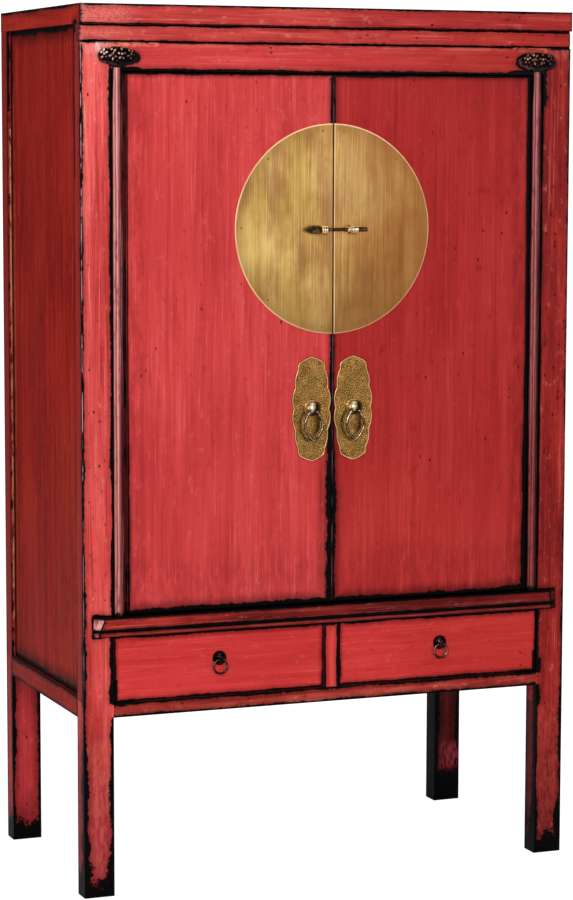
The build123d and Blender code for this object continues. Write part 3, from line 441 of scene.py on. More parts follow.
# top
lo, hi = FULL["top_frame_front"]
paint("top_frame_front", lacquer("lacquer_cap_front", lo, hi, (2.8, 2.4, 2.0, 5.0, 2.2, 4.0), "x", "cap",
                                 seed=11.0, mottle=1.05, specks=1.1, contrast=1.4, streak=0.5,
                                 shade=[(0, -0.30, 0.55, (0.62, 0.34, 0.35))],
                                 tints=[(mm(-571, -300, 1862), mm(-566, -280, 1894), 10.0, ROSE, 0.35, True, 160.0),
                                        (mm(-571, -300, 1866), mm(-500, -280, 1894), 70.0, srgb(244, 150, 140), 0.45, False, 700.0)]))
for n, sd in (("top_frame_back", 13.0), ("top_frame_left", 15.0), ("top_frame_right", 17.0)):
    lo, hi = FULL[n]
    front = 2.0 if "back" in n else 11.0
    paint(n, lacquer("lacquer_" + n, lo, hi, (3.0, 3.0, front, 2.0, 0.4, 5.4), "x" if "back" in n else "y",
                     "capside", seed=sd, smoke=0.8, spec=0.04, contrast=1.4, mottle=0.9, specks=0.8,
                     near=[] if "back" in n else [(mm(-575, -258, 1856), mm(575, -244, 1861), 7.0)]))
lo, hi = FULL["top_panel"]
paint("top_panel", lacquer("lacquer_top_panel", (lo[0] + 0.008, lo[1] + 0.008, lo[2]), (hi[0] - 0.008, hi[1] - 0.008, hi[2]),
                           (9.0, 9.0, 9.0, 9.0, 1.0, 1.0), "x", "side", seed=19.0, spec=0.06))
lo, hi = FULL["frieze_strip"]
paint("frieze_strip", lacquer("lacquer_frieze", lo, hi, (2.0, 2.0, 12.0, 0.4, 3.8, 4.2), "x", "cap", seed=21.0,
                              specks=1.1, mottle=1.05, contrast=1.4, streak=0.5,
                              shade=[(0, -0.30, 0.55, (0.78, 0.50, 0.44))],
                              clear=[(mm(-575, -266, 1815), mm(-569.8, -250, 1865), 2.0),
                                     (mm(569.8, -266, 1815), mm(575, -250, 1865), 2.0)],
                              tints=[(mm(-571, -283, 1828), mm(-568, -276, 1851), 8.0, ROSE, 0.3, True, 160.0),
                                     (mm(-571, -283, 1828), mm(-510, -276, 1851), 60.0, srgb(242, 144, 132), 0.35, False, 700.0),
                                     (mm(-575, -277, 1815), mm(-569.8, -250, 1865), 0.5, srgb(156, 32, 24), 1.0, False, 2.0)]))
lo, hi = FULL["front_top_rail"]
paint("front_top_rail", lacquer("lacquer_top_rail", (-IX, lo[1], lo[2]), (IX, hi[1], hi[2]),
                                (0.0001, 0.0001, 3.0, 3.0, 4.4, 2.0), "x", "door_l",
                                # the first two ellipses ring the carved blocks in glaze and painted shade; the last two
                                # are painted shade under their lower right ends
                                ell=[(-488.0, 1790, 43.0, 18.0, 3.0), (483.0, 1789, 43.0, 20.0, 4.6),
                                     (-460.0, 1763, 22.0, 6.0, 4.0), (452.0, 1763, 34.0, 8.0, 5.0)], seed=23.0,
                                contrast=1.3, streak=0.4, mottle=0.8, specks=0.8, smoke=0.7,
                                shade=[(0, -0.20, 0.50, (0.68, 0.52, 0.42))],
                                clear=[(mm(-510, -290, 1807), mm(-450, -284, 1815.5), 3.0),
                                       (mm(470, -290, 1810), mm(510, -284, 1815.5), 3.0)],
                                tints=[(mm(-503, -290, 1814.5), mm(-452, -280, 1817), 5.0, srgb(234, 152, 118), 0.85, True, 330.0),
                                       (mm(-452, -290, 1815), mm(-400, -280, 1818), 5.0, srgb(232, 124, 108), 0.7, True, 330.0),
                                       (mm(430, -290, 1815), mm(506, -280, 1818), 8.0, srgb(222, 112, 84), 0.85, True, 60.0),
                                       (mm(-430, -290, 1816), mm(430, -280, 1819), 6.0, srgb(226, 112, 94), 0.5, False, 40.0)]))

# sill, drawer rails and divider
lo, hi = FULL["sill_rail"]
paint("sill_rail", lacquer("lacquer_sill", (-0.547, lo[1], lo[2]), (0.547, hi[1], hi[2]),
                           (2.0, 3.0, 2.0, 3.0, 4.4, 2.0), "x", "sill",
                           near=[(mm(-560, -320, 608.4), mm(560, -240, 612), 2.6),
                                 (mm(-560, -320, 576.8), mm(560, -285, 581.0), 2.2)],
                           planes=[((1, 1, 0), 0.832, 4.4, srgb(240, 168, 164)), ((-1, 1, 0), 0.832, 3.4, srgb(70, 20, 22))],
                           seed=25.0, mottle=1.2, specks=0.6, contrast=1.8, smoke=0.9, streak=0.5,
                           shade=[(0, -0.45, 0.05, (0.62, 0.66, 0.74))],
                           tints=[(mm(-500, -310, 582.2), mm(545, -284, 584.4), 1.6, srgb(196, 72, 80), 0.75, False, 30.0),
                                  (mm(-530, -310, 570.5), mm(530, -284, 573.0), 1.5, srgb(168, 66, 60), 0.7, False, 26.0)]))
lo, hi = FULL["front_bottom_rail"]
paint("front_bottom_rail", lacquer("lacquer_bottom_rail", (-IX, lo[1], lo[2]), (IX, hi[1], hi[2]),
                                   (0.0001, 0.0001, 3.0, 3.0, 5.4, 5.0), "x", "brail", seed=27.0, specks=1.8, mottle=1.2,
                                   contrast=1.5, streak=0.45, smoke=0.8, rag=1.2,
                                   near=[(mm(s * 478 - 20, -290, 419.5), mm(s * 478 + 20, -280, 424), 4.0) for s in (-1, 1)]
                                   + [(mm(-490, -290, 416), mm(-478, -280, 424), 3.0)],
                                   tints=[(mm(-510, -290, 394), mm(510, -280, 401), 6.0, srgb(206, 97, 84), 0.5, False, 50.0)]))
lo, hi = FULL["drawer_divider"]
paint("drawer_divider", lacquer("lacquer_divider", (lo[0], lo[1], 0.421), (hi[0], hi[1], 0.567),
                                (4.0, 4.0, 3.0, 3.0, 1.0, 9.0), "z", "drawer", seed=29.0, contrast=1.2))
for s, side in ((-1, "left"), (1, "right")):
    lo, hi = FULL[f"{side}_drawer_front"]
    outer = sorted((s * 500.5, s * 496.0))
    paint(f"{side}_drawer_front", lacquer(f"lacquer_{side}_drawer", lo, hi, (3.4, 4.4 if s < 0 else 2.8, 3.0, 3.0, 4.0, 4.6),
                                          "x", "drawer", seed=31.0 + s, streak=0.25, mottle=0.6, specks=0.6, smoke=0.9,
                                          contrast=1.0, near=[(mm(outer[0], -290, 424), mm(outer[1], -280, 470), 2.2)],
                                          shade=[] if s < 0 else [(0, 0.05, 0.50, (0.82, 0.70, 0.64))]))
    lo, hi = FULL[f"{side}_bottom_rail"]
    paint(f"{side}_bottom_rail", lacquer(f"lacquer_{side}_rail", (lo[0], -0.237, lo[2]), (hi[0], 0.259, hi[2]),
                                         (3.0, 3.0, 2.0, 3.0, 4.0, 6.0), "y", "side", seed=35.0 + s, spec=0.04,
                                         mottle=0.9, specks=0.8, contrast=1.3, streak=0.5))
    lo, hi = FULL[f"{side}_side_panel"]
    # the black along the side panels' edges widens towards the top: glaze, and painted shade in the recess under the
    # top frame
    paint(f"{side}_side_panel", lacquer(f"lacquer_{side}_side", (lo[0], -0.237, 0.433), (hi[0], 0.259, 1.858),
                                        (1.0, 1.0, 9.0, 8.0, 14.0, 8.0), "z", "side", seed=39.0 + s, spec=0.03,
                                        grow=[(1.45, 1.80, 1.5)], rag=0.9, smoke=1.0, mottle=0.8, specks=0.3, contrast=1.75, streak=0.35,
                                        tints=[(mm(-600, 236, 430), mm(600, 242, 1760), 6.0, srgb(190, 106, 70), 0.65, False, 50.0),
                                               (mm(-600, -190, 440), mm(600, -110, 1000), 60.0, srgb(168, 62, 40), 0.30, False, 60.0),
                                               (mm(-600, 60, 430), mm(600, 120, 1860), 60.0, srgb(160, 44, 36), 0.3, False, 8.0)]))
    # doors
    lo, hi = FULL[f"{side}_door_leaf"]
    x0, x1 = sorted((s * 0.001, s * 0.468))
    wi, wo = (5.0, 1.3) if s < 0 else (3.6, 2.4)
    w = (wo, wi) if s < 0 else (wi, wo)
    # painted highlight along the lit, worn inner edge of the right door
    door_tints_highlight_shade = [] if s < 0 else [(mm(0.6, -290, 615), mm(1.4, -280, 1756), 0.8, srgb(124, 92, 98), 0.8, True, 40.0)]
    if s < 0:
        door_tints_highlight_shade += [(mm(-477, -290, 640), mm(-471, -240, 1752), 2.0, srgb(84, 24, 22), 0.75, True, 40.0)]
    door_tints_highlight_shade += [(mm(min(s * 60, s * 460), -290, 620), mm(max(s * 60, s * 460), -280, 700), 60.0,
                    srgb(126, 26, 32) if s < 0 else srgb(108, 20, 24), 0.22, False, 70.0),
                   # painted shade on each door beside its bead
                   (mm(min(s * 440, s * 462), -290, 620), mm(max(s * 440, s * 462), -280, 1750), 22.0,
                    srgb(140, 28, 32) if s < 0 else srgb(108, 20, 22), 0.35, False, 60.0)]
    paint(f"{side}_door_leaf", lacquer(f"lacquer_{side}_door", (x0, lo[1], lo[2]), (x1, hi[1], hi[2]),
                                       w + (2.0, 3.0, 3.8, 4.0), "z", "door_l" if s < 0 else "door_r",
                                       near=[(mm(min(s * 469.5, s * 500), -290, 610), mm(max(s * 469.5, s * 500), -240, 1760), 0.8)],
                                       grow=[(1.15, 0.80, 2.4)], seed=43.0 + s, mottle=0.6, specks=0.8,
                                       smoke=0.9, contrast=1.15, streak=0.25, rag=0.9, tints=door_tints_highlight_shade,
                                       shade=[] if s < 0 else [(2, 0.98, 0.72, (1.18, 1.42, 1.36))]))
    # the right bead's colours are darker copies of the left's: painted shade for the right side
    pal = (srgb(64, 18, 20), srgb(136, 52, 52), srgb(186, 98, 98), srgb(232, 168, 164)) if s < 0 else \
        (srgb(36, 8, 11), srgb(86, 22, 26), srgb(136, 54, 58), srgb(196, 114, 116))
    paint(f"{side}_door_hinge_stile", rod_lacquer(f"lacquer_{side}_stile", s * 0.489, pal, 47.0 + s,
                                                  (0.86, 0.76, 0.72) if s < 0 else (0.66, 0.42, 0.36)))
paint("back_bottom_rail", lacquer("lacquer_back_rail", *FULL["back_bottom_rail"], (2.0, 2.0, 3.0, 3.0, 3.0, 3.0), "x",
                                  "back", seed=51.0))
lo, hi = FULL["back_panel"]
paint("back_panel", lacquer("lacquer_back", (-IX, lo[1], 0.433), (IX, hi[1], 1.858), (8.0, 8.0, 1.0, 1.0, 9.0, 8.0), "z",
                            "back", seed=53.0))


# ------------------------------------------------------------------ other finishes
def wood(name, grain, tint=1.0, seed=0.0):
    t = Tree(name)
    off = (seed * 1.3, seed * 0.7, seed * 2.3)
    s = [60.0, 60.0, 60.0]
    s[{"x": 0, "y": 1, "z": 2}[grain]] = 2.4
    warp = t.noise(t.at((4.0, 4.0, 4.0), off), 1.0, 2.0)
    rings = t.noise(t.v("ADD", t.at(tuple(s), off), t.v("SCALE", t.P, None)), 1.0, 5.0, 0.6, 0.8)
    pores = t.noise(t.at(tuple(c * 7.0 for c in s), off), 1.0, 3.0, 0.6)
    tone = t.m("MULTIPLY_ADD", rings, 0.75, t.m("MULTIPLY", warp, 0.25))
    col = t.ramp(tone, [(0.32, srgb(86 * tint, 56 * tint, 36 * tint)), (0.52, srgb(126 * tint, 86 * tint, 56 * tint)),
                        (0.70, srgb(160 * tint, 116 * tint, 78 * tint))])
    col = t.mix(t.step(pores, 0.58, 0.70, 0.0, 0.5), col, srgb(58 * tint, 36 * tint, 24 * tint))
    t.put(t.bsdf.inputs["Base Color"], col)
    t.put(t.bsdf.inputs["Roughness"], t.m("MULTIPLY_ADD", pores, 0.25, 0.45))
    t.put(t.bsdf.inputs["Normal"], t.bump(t.m("ADD", rings, pores), 0.0005, 0.4))
    return t.mat


for n, g in (("cabinet_floor", "x"), ("lower_shelf", "x"), ("upper_shelf", "x"), ("shelf_cleats", "y"),
             ("drawer_runners", "y")):
    paint(n, wood("wood_" + n, g, 0.92, len(n) * 0.7))
for s in ("left", "right"):
    paint(f"{s}_door_battens", wood(f"wood_{s}_battens", "x", 0.85, 3.0))
    paint(f"{s}_drawer_sides", wood(f"wood_{s}_drawer_sides", "y", 1.0, 5.0))
    paint(f"{s}_drawer_back", wood(f"wood_{s}_drawer_back", "x", 1.0, 6.0))
    paint(f"{s}_drawer_base", wood(f"wood_{s}_drawer_base", "x", 0.95, 8.0))


def brushed_brass(name, seed=0.0):
    t = Tree(name)
    off = (seed, seed * 1.7, seed * 0.4)
    fine = t.noise(t.at((900.0, 900.0, 9.0), off), 1.0, 4.0, 0.65)
    band = t.noise(t.at((46.0, 46.0, 1.6), off), 1.0, 3.0, 0.5)
    thin = t.noise(t.at((240.0, 240.0, 5.0), off), 1.0, 3.0, 0.6)
    cloud = t.noise(t.at((9.0, 9.0, 5.0), off), 1.0, 4.0, 0.6, 0.2)
    blotch = t.noise(t.at((15.0, 15.0, 5.0), (seed + 4.0, seed, seed + 1.0)), 1.0, 5.0, 0.62, 0.1)
    tone = t.m("MULTIPLY_ADD", fine, 0.36, t.m("MULTIPLY_ADD", band, 0.30, t.m("MULTIPLY", cloud, 0.56)))
    tone = t.m("SUBTRACT", tone, 0.055)
    tone = t.m("MULTIPLY_ADD", t.m("SUBTRACT", thin, 0.5), 0.36, tone)
    col = t.ramp(tone, [(0.40, srgb(126, 86, 44)), (0.55, srgb(192, 148, 84)), (0.68, srgb(232, 196, 128))])
    # warm brown stains, and a greener cast to the left
    col = t.mix(t.step(blotch, 0.46, 0.64, 0.0, 0.50), col, srgb(150, 102, 70))
    green = t.m("MULTIPLY", t.step(blotch, 0.56, 0.34), t.step(t.x, 0.02, -0.14))
    col = t.mix(t.m("MULTIPLY", green, 0.50), col, srgb(212, 180, 98))
    d = t.v("LENGTH", t.v("MULTIPLY", t.v("SUBTRACT", t.P, (0.0, 0.0, 1.427)), (1.0, 0.0, 1.0)))
    rim = t.step(t.m("ADD", d, t.m("MULTIPLY", t.m("SUBTRACT", cloud, 0.5), 0.02)), 0.195, 0.224, 0.0, 0.35)
    col = t.mix(rim, col, srgb(132, 98, 54))
    # painted shade: darker and browner towards the right and the bottom
    col = t.mix(t.step(t.m("ADD", t.x, t.m("MULTIPLY", t.m("SUBTRACT", band, 0.5), 0.25)), -0.06, 0.12, 0.0, 0.70), col,
                srgb(134, 80, 38))
    col = t.mix(t.step(t.m("ADD", t.z, t.m("MULTIPLY", t.m("SUBTRACT", cloud, 0.5), 0.2)), 1.42, 1.22, 0.0, 0.36), col,
                srgb(120, 76, 38))
    # worn light line at the very edge, with painted highlight: lightest at the upper left
    lit = t.step(t.m("MULTIPLY_ADD", t.m("SUBTRACT", t.z, 1.427), -0.7, t.x), 0.20, -0.10, 0.35, 0.92)
    col = t.mix(t.m("MULTIPLY", t.step(d, 0.2236, 0.2246), lit), col, srgb(250, 200, 156))
    # dark line along the split, and a painted highlight along its right side
    col = t.mix(t.step(t.m("ABSOLUTE", t.x), 0.0022, 0.0012, 0.0, 0.9), col, srgb(30, 20, 12))
    pale = t.m("MULTIPLY", t.step(t.x, 0.0018, 0.0024), t.step(t.x, 0.0048, 0.0036, 0.0, 0.75))
    col = t.mix(t.m("MULTIPLY", pale, t.step(cloud, 0.30, 0.50, 0.4, 1.0)), col, srgb(244, 206, 156))
    t.put(t.bsdf.inputs["Base Color"], col)
    t.bsdf.inputs["Metallic"].default_value = 1.0
    t.put(t.bsdf.inputs["Roughness"], t.m("MULTIPLY_ADD", fine, 0.22, 0.28))
    t.put(t.bsdf.inputs["Normal"], t.bump(t.m("ADD", fine, t.m("MULTIPLY", cloud, 2.0)), 0.0004, 0.5))
    return t.mat


# ------------------------------------------------------------------ metals
def cast_metal(name, dark, mid, light, rough=0.34, seed=0.0, scale=300.0, relief=None, bump=0.0002, clouds=None,
               rim=None, upper=None, shady=False, ring_shadow=False, face=None):
    """Metal with a mottled patina.

    relief  (y of the hollows, y of the high points, hollow, high, strength)
    clouds  two colours of large tarnished patches
    rim     (y where it starts, y where it is full, colour) of the raised edge
    upper   (z where it starts, z where it is full, colour): another tone further up
    shady   painted shade on the right half of each door boss
    dirt    painted shadow of the ring and of the boss on each handle plate
    """
    t = Tree(name)
    off = (seed, seed * 1.7, seed * 0.4)
    n1 = t.noise(t.at((scale,) * 3, off), 1.0, 5.0, 0.6)
    n2 = t.noise(t.at((scale * 0.2,) * 3, off), 1.0, 3.0, 0.5)
    tone = t.m("MULTIPLY_ADD", n1, 0.5, t.m("MULTIPLY", n2, 0.5))
    col = t.ramp(tone, [(0.36, dark), (0.5, mid), (0.66, light)])
    rg = t.m("MULTIPLY_ADD", n1, 0.25, rough - 0.12)
    if clouds:
        big = t.noise(t.at((34.0, 34.0, 24.0), off), 1.0, 3.0, 0.55, 0.5)
        col = t.mix(t.step(big, 0.52, 0.64, 0.0, 0.60), col, clouds[0])
        col = t.mix(t.step(big, 0.46, 0.34, 0.0, 0.60), col, clouds[1])
    if relief:
        y0, y1, hollow, high, k = relief
        h = t.m("ADD", t.m("DIVIDE", t.m("SUBTRACT", t.y, y0), y1 - y0), t.m("MULTIPLY", t.m("SUBTRACT", n1, 0.5), 0.5))
        col = t.mix(t.step(h, 0.55, 0.15, 0.0, k), col, hollow)
        col = t.mix(t.step(h, 0.60, 0.95, 0.0, k), col, high)
        rg = t.m("ADD", rg, t.step(h, 0.6, 0.2, -0.04, 0.22))
    if rim:
        col = t.mix(t.step(t.y, rim[0], rim[1], 0.0, 0.9), col, rim[2])
    # painted shadow of the hanging ring on the plate, inside its upper right and outside its left, and of the boss to
    # its right
    if ring_shadow:
        cx = t.m("MULTIPLY", t.m("SIGN", t.x), 0.049)
        du = t.m("SUBTRACT", t.x, cx)
        q = t.m("ADD", t.m("POWER", t.m("ABSOLUTE", t.m("DIVIDE", du, 0.0215)), 2.0),
                t.m("POWER", t.m("ABSOLUTE", t.m("DIVIDE", t.m("SUBTRACT", t.z, 1.0065), 0.0330)), 2.0))
        q = t.m("ADD", t.m("SQRT", q), t.m("MULTIPLY", t.m("SUBTRACT", n1, 0.5), 0.25))
        inner = t.m("MULTIPLY", t.step(t.m("ABSOLUTE", t.m("SUBTRACT", q, 0.80)), 0.20, 0.08),
                    t.step(t.m("MULTIPLY_ADD", t.m("SUBTRACT", t.z, 1.0065), 0.6, du), -0.008, 0.008))
        outer = t.m("MULTIPLY", t.step(t.m("ABSOLUTE", t.m("SUBTRACT", q, 1.18)), 0.16, 0.06), t.step(du, 0.004, -0.012))
        # the boss's painted shadow, to its right
        sx, sz = t.m("SUBTRACT", du, 0.0085), t.m("SUBTRACT", t.z, 1.0400)
        beside = t.m("SQRT", t.m("ADD", t.m("MULTIPLY", sx, sx), t.m("MULTIPLY", sz, sz)))
        beside = t.step(t.m("MULTIPLY_ADD", t.m("SUBTRACT", n1, 0.5), 0.004, beside), 0.0155, 0.0120)
        ring_shadow_mask = t.m("MAXIMUM", inner, t.m("MAXIMUM", t.m("MULTIPLY", outer, 0.6), beside))
        col = t.mix(t.m("MULTIPLY", ring_shadow_mask, 0.85), col, srgb(46, 26, 15))
    if upper:
        col = t.mix(t.step(t.z, upper[0], upper[1], 0.0, 0.8), col, upper[2])
    if shady:
        # painted shade: the right half of each boss darkens to near black
        turn = t.m("SUBTRACT", t.m("ABSOLUTE", t.x), 0.049)
        turn = t.m("MULTIPLY", turn, t.m("SIGN", t.x))
        turn = t.m("ADD", turn, t.m("MULTIPLY", t.m("SUBTRACT", t.z, 1.0395), -0.45))
        turn = t.m("ADD", turn, t.m("MULTIPLY", t.m("SUBTRACT", n2, 0.5), 0.006))
        col = t.mix(t.step(turn, -0.0035, 0.0015, 0.0, 0.95), col, srgb(30, 19, 12))
    # painted shade on the wire's flanks, which darken as they turn away from the front left; the front keeps its light
    # colour
    if face:
        # the front of the wire is rubbed bright, its flanks keep their dark patina
        tc = t.nt.nodes.new("ShaderNodeTexCoord")
        front = t.v("DOT_PRODUCT", tc.outputs["Normal"], (-0.34, -0.92, 0.20))
        front = t.m("ADD", front, t.m("MULTIPLY", t.m("SUBTRACT", n1, 0.5), 0.35))
        col = t.mix(t.step(front, face[0], face[1]), face[2], col)
    t.put(t.bsdf.inputs["Base Color"], col)
    t.bsdf.inputs["Metallic"].default_value = 1.0
    t.put(t.bsdf.inputs["Roughness"], rg)
    t.put(t.bsdf.inputs["Normal"], t.bump(n1, bump, 0.5))
    return t.mat


disc_mat = brushed_brass("brushed_brass", 2.0)
PLATE = (srgb(108, 74, 34), srgb(158, 116, 60), srgb(198, 154, 88))
# the handle plates carry the painted shadow of ring and boss
plate_mat = cast_metal("engraved_brass", *PLATE, 0.38, 1.0, 230.0,
                       (-0.2846, -0.2853, srgb(88, 56, 28), srgb(214, 164, 92), 0.48), 0.0004,
                       clouds=(srgb(118, 104, 46), srgb(116, 66, 34)), rim=(-0.28545, -0.28560, srgb(255, 194, 142)),
                       ring_shadow=True)
nail_mat = cast_metal("nail_brass", *PLATE, 0.40, 6.0, 260.0, clouds=(srgb(112, 96, 44), srgb(112, 68, 34)),
                      upper=(1.18, 1.19, srgb(150, 112, 60)))
# the door bosses carry painted shade on their right halves
boss_mat = cast_metal("polished_brass", srgb(176, 150, 104), srgb(216, 194, 150), srgb(240, 226, 190), 0.34, 2.0,
                      shady=True)
eye_mat = cast_metal("eye_brass", srgb(150, 116, 70), srgb(206, 176, 126), srgb(240, 222, 184), 0.20, 5.0,
                     relief=(-0.2860, -0.2945, srgb(96, 64, 34), srgb(244, 226, 190), 0.7))
# the door rings get painted shade on their flanks
ring_mat = cast_metal("worn_bronze", srgb(74, 54, 36), srgb(138, 112, 84), srgb(240, 224, 192), 0.22, 3.0, 150.0,
                      face=(0.72, 0.95, srgb(40, 24, 15)))
head_mat = cast_metal("black_bronze", srgb(14, 10, 8), srgb(34, 24, 16), srgb(112, 78, 48), 0.24, 7.0, 170.0)
pin_mat = cast_metal("dark_bronze", srgb(34, 22, 14), srgb(84, 54, 32), srgb(160, 116, 72), 0.26, 7.0, 160.0)
# the drawer rings get painted shade on their flanks and on their lower part
ring_iron = cast_metal("rubbed_iron", srgb(52, 30, 28), srgb(138, 84, 78), srgb(226, 160, 148), 0.26, 9.0, 170.0,
                       upper=(0.486, 0.473, srgb(44, 24, 22)), face=(0.78, 0.97, srgb(22, 10, 12)))
iron_mat = cast_metal("dark_iron", srgb(14, 12, 12), srgb(26, 22, 21), srgb(84, 62, 56), 0.30, 4.0)


def carved_finish(name, side_sign):
    """Black lacquer over carved wood, worn through to rose and bare cream on its high points, with painted highlights
    on the faces turned up and to the left.
    """
    t = Tree(name)
    n1 = t.noise(t.at((330.0,) * 3), 1.0, 4.0, 0.6)
    n2 = t.noise(t.at((75.0,) * 3, (3.0, 1.0, 2.0)), 1.0, 3.0, 0.55)
    geo = t.nt.nodes.new("ShaderNodeNewGeometry")
    ridge = t.step(geo.outputs["Pointiness"], 0.48, 0.58)
    height = t.step(t.y, -0.2950, -0.3000)
    # painted highlights, with wear, on the upper left shoulder of every petal, the side the light comes from
    tc = t.nt.nodes.new("ShaderNodeTexCoord")
    lean = t.v("DOT_PRODUCT", tc.outputs["Normal"], (-0.50, -0.62, 0.60))
    wear_and_glint = t.m("MULTIPLY", t.step(lean, 0.35, 0.90), t.m("MULTIPLY_ADD", height, 0.7, 0.3))
    h = t.m("ADD", t.m("MULTIPLY", ridge, 0.20), t.m("MULTIPLY", wear_and_glint, 0.64))
    h = t.m("ADD", h, t.m("MULTIPLY", t.m("SUBTRACT", n1, 0.5), 1.3))
    # the outer end of the left block and the inner end of the right one are lightest, both to the left: wear, and
    # painted light from the left
    out = t.step(t.x, 0.535 * side_sign if side_sign < 0 else 0.445, 0.435 * side_sign if side_sign < 0 else 0.530)
    h = t.m("ADD", h, t.m("MULTIPLY_ADD", out, -0.34, 0.22))
    h = t.m("ADD", h, t.m("MULTIPLY", t.m("SUBTRACT", n2, 0.5), 1.1))
    # the right block's rose and cream are dimmer: painted shade for the right side
    rose, cream = (srgb(194, 142, 132), srgb(242, 226, 212)) if side_sign < 0 else (srgb(134, 98, 80), srgb(210, 194, 170))
    col = t.ramp(h, [(0.35, BLACK), (0.48, srgb(52, 25, 22)), (0.66, srgb(112, 62, 55)), (0.86, rose), (1.0, cream)])
    t.put(t.bsdf.inputs["Base Color"], col)
    t.put(t.bsdf.inputs["Roughness"], t.m("MULTIPLY_ADD", n1, 0.3, 0.16))
    t.bsdf.inputs["Specular IOR Level"].default_value = 0.09
    t.put(t.bsdf.inputs["Normal"], t.bump(t.m("ADD", n1, n2), 0.0008, 0.6))
    return t.mat


for s in ("left", "right"):
    paint(f"{s}_door_disc_half", disc_mat)
    paint(f"{s}_door_handle_plate", plate_mat)
    paint(f"{s}_door_nails", nail_mat)
    paint(f"{s}_door_boss", boss_mat)
    paint(f"{s}_door_ring", ring_mat)
    paint(f"{s}_door_lock_eye", eye_mat)
    paint(f"{s}_drawer_boss", iron_mat)
    paint(f"{s}_drawer_ring", ring_iron)
    paint(f"{s}_pivot_block", iron_mat)
paint("lock_pin_head", head_mat)
paint("lock_pin_tail", pin_mat)


# ------------------------------------------------------------------ pieces
def piece(name, mesh, mat, body, replaces):
    o = bpy.data.objects.new(name, mesh)
    SCENE.collection.objects.link(o)
    mesh.materials.clear()
    mesh.materials.append(mat)
    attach(o, body)
    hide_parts(replaces)
    return o


def blob(bm, c, r, turn=0.0):
    m = Matrix.Translation(Vector(c) / 1000) @ Matrix.Rotation(turn, 4, "Y")
    bmesh.ops.create_uvsphere(bm, u_segments=18, v_segments=12, radius=1.0,
                              matrix=m @ Matrix.Diagonal((r[0] / 1000, r[1] / 1000, r[2] / 1000, 1)))


def drum(bm, x, z, rx, rz, y0, y1):
    m = Matrix.Translation((x / 1000, (y0 + y1) / 2000, z / 1000)) @ Matrix.Diagonal((rx / 1000, 1, rz / 1000, 1))
    bmesh.ops.create_cone(bm, cap_ends=True, segments=56, radius1=1, radius2=1, depth=abs(y1 - y0) / 1000,
                          matrix=m @ Matrix.Rotation(math.pi / 2, 4, "X"))


def carved_block(side, s):
    """Four florets side by side on a rounded ground, over the back part that holds the door's pivot."""
    cx, cz, yf = s * 485.5, 1789.5, -285.0
    bm = bmesh.new()
    drum(bm, cx, cz, 23.5, 19.5, yf - 4.2, yf - 9.0)
    for k in (-1, 1):
        drum(bm, cx + k * 21, cz, 16.0, 16.5, yf - 4.2, yf - 9.0)
        drum(bm, cx + k * 33.5, cz - 1, 10.8, 12.5, yf - 4.2, yf - 8.6)
        blob(bm, (cx + k * 21, yf - 10, cz + 13.6), (4.6, 4.4, 3.6))
        blob(bm, (cx + k * 21, yf - 10, cz - 13.4), (4.6, 4.4, 3.6))
    rng = np.random.default_rng(17 if s < 0 else 23)
    for j, (u, k) in enumerate(((-32.0, 0.86), (-10.8, 1.0), (10.8, 1.0), (32.0, 0.86))):
        n = 5
        for i in range(n):
            a = 2 * math.pi * (i + 0.5 * (j % 2) + rng.uniform(-0.16, 0.16)) / n + 0.3
            k *= rng.uniform(0.94, 1.06)
            ca, sa = math.cos(a), math.sin(a)
            blob(bm, (cx + u + 7.0 * ca, yf - 11.6, cz + 11.2 * k * sa),
                 (4.6 + 2.0 * k * abs(sa), 7.6, 4.5), -math.atan2(11.2 * k * sa, 7.0 * ca))
        blob(bm, (cx + u, yf - 13.0, cz), (4.2, 8.6, 5.2))
    blob(bm, (cx, yf - 10, cz + 15.0), (5.0, 4.6, 4.0))
    blob(bm, (cx, yf - 10, cz - 15.0), (5.0, 4.6, 4.0))
    # the carving sits within the outline of its block
    shift = -7.0 if s < 0 else 0.0
    for q in bm.verts:
        q.co.x = (cx + shift + (q.co.x * 1000 - cx) * (0.92 if s < 0 else 0.89)) / 1000
        q.co.z = (cz + 4.6 + (q.co.z * 1000 - cz) * 0.88) / 1000
        q.co.y = (-289.2 + (q.co.y * 1000 + 289.2) * 0.82) / 1000
    raw = bpy.data.meshes.new("raw")
    bm.to_mesh(raw)
    bm.free()
    tmp = bpy.data.objects.new("raw", raw)
    SCENE.collection.objects.link(tmp)
    md = tmp.modifiers.new("remesh", "REMESH")
    md.mode = "VOXEL"
    md.voxel_size = 0.00075
    sm = tmp.modifiers.new("smooth", "SMOOTH")
    sm.factor, sm.iterations = 0.5, 2
    carved = bpy.data.meshes.new_from_object(tmp.evaluated_get(bpy.context.evaluated_depsgraph_get()))
    bpy.data.objects.remove(tmp)
    bpy.data.meshes.remove(raw)

    bm = bmesh.new()
    bm.from_mesh(NODES[f"{side}_pivot_block"].data)
    bmesh.ops.remove_doubles(bm, verts=bm.verts, dist=1e-6)
    bmesh.ops.bisect_plane(bm, geom=bm.verts[:] + bm.edges[:] + bm.faces[:], dist=1e-7,
                           plane_co=(0, -0.2915, 0), plane_no=(0, -1, 0), clear_outer=True)
    bmesh.ops.holes_fill(bm, edges=[e for e in bm.edges if e.is_boundary])
    for f in bm.faces:
        f.smooth = False
    start = len(bm.faces)
    bm.from_mesh(carved)
    bm.faces.ensure_lookup_table()
    for f in bm.faces[start:]:
        f.smooth = True
    me = bpy.data.meshes.new(f"carved_{side}_block")
    bm.to_mesh(me)
    bm.free()
    bpy.data.meshes.remove(carved)
    return piece(f"carved_{side}_block", me, carved_finish(f"carved_{side}", s), "carcass",
                 f"{side}_pivot_block")


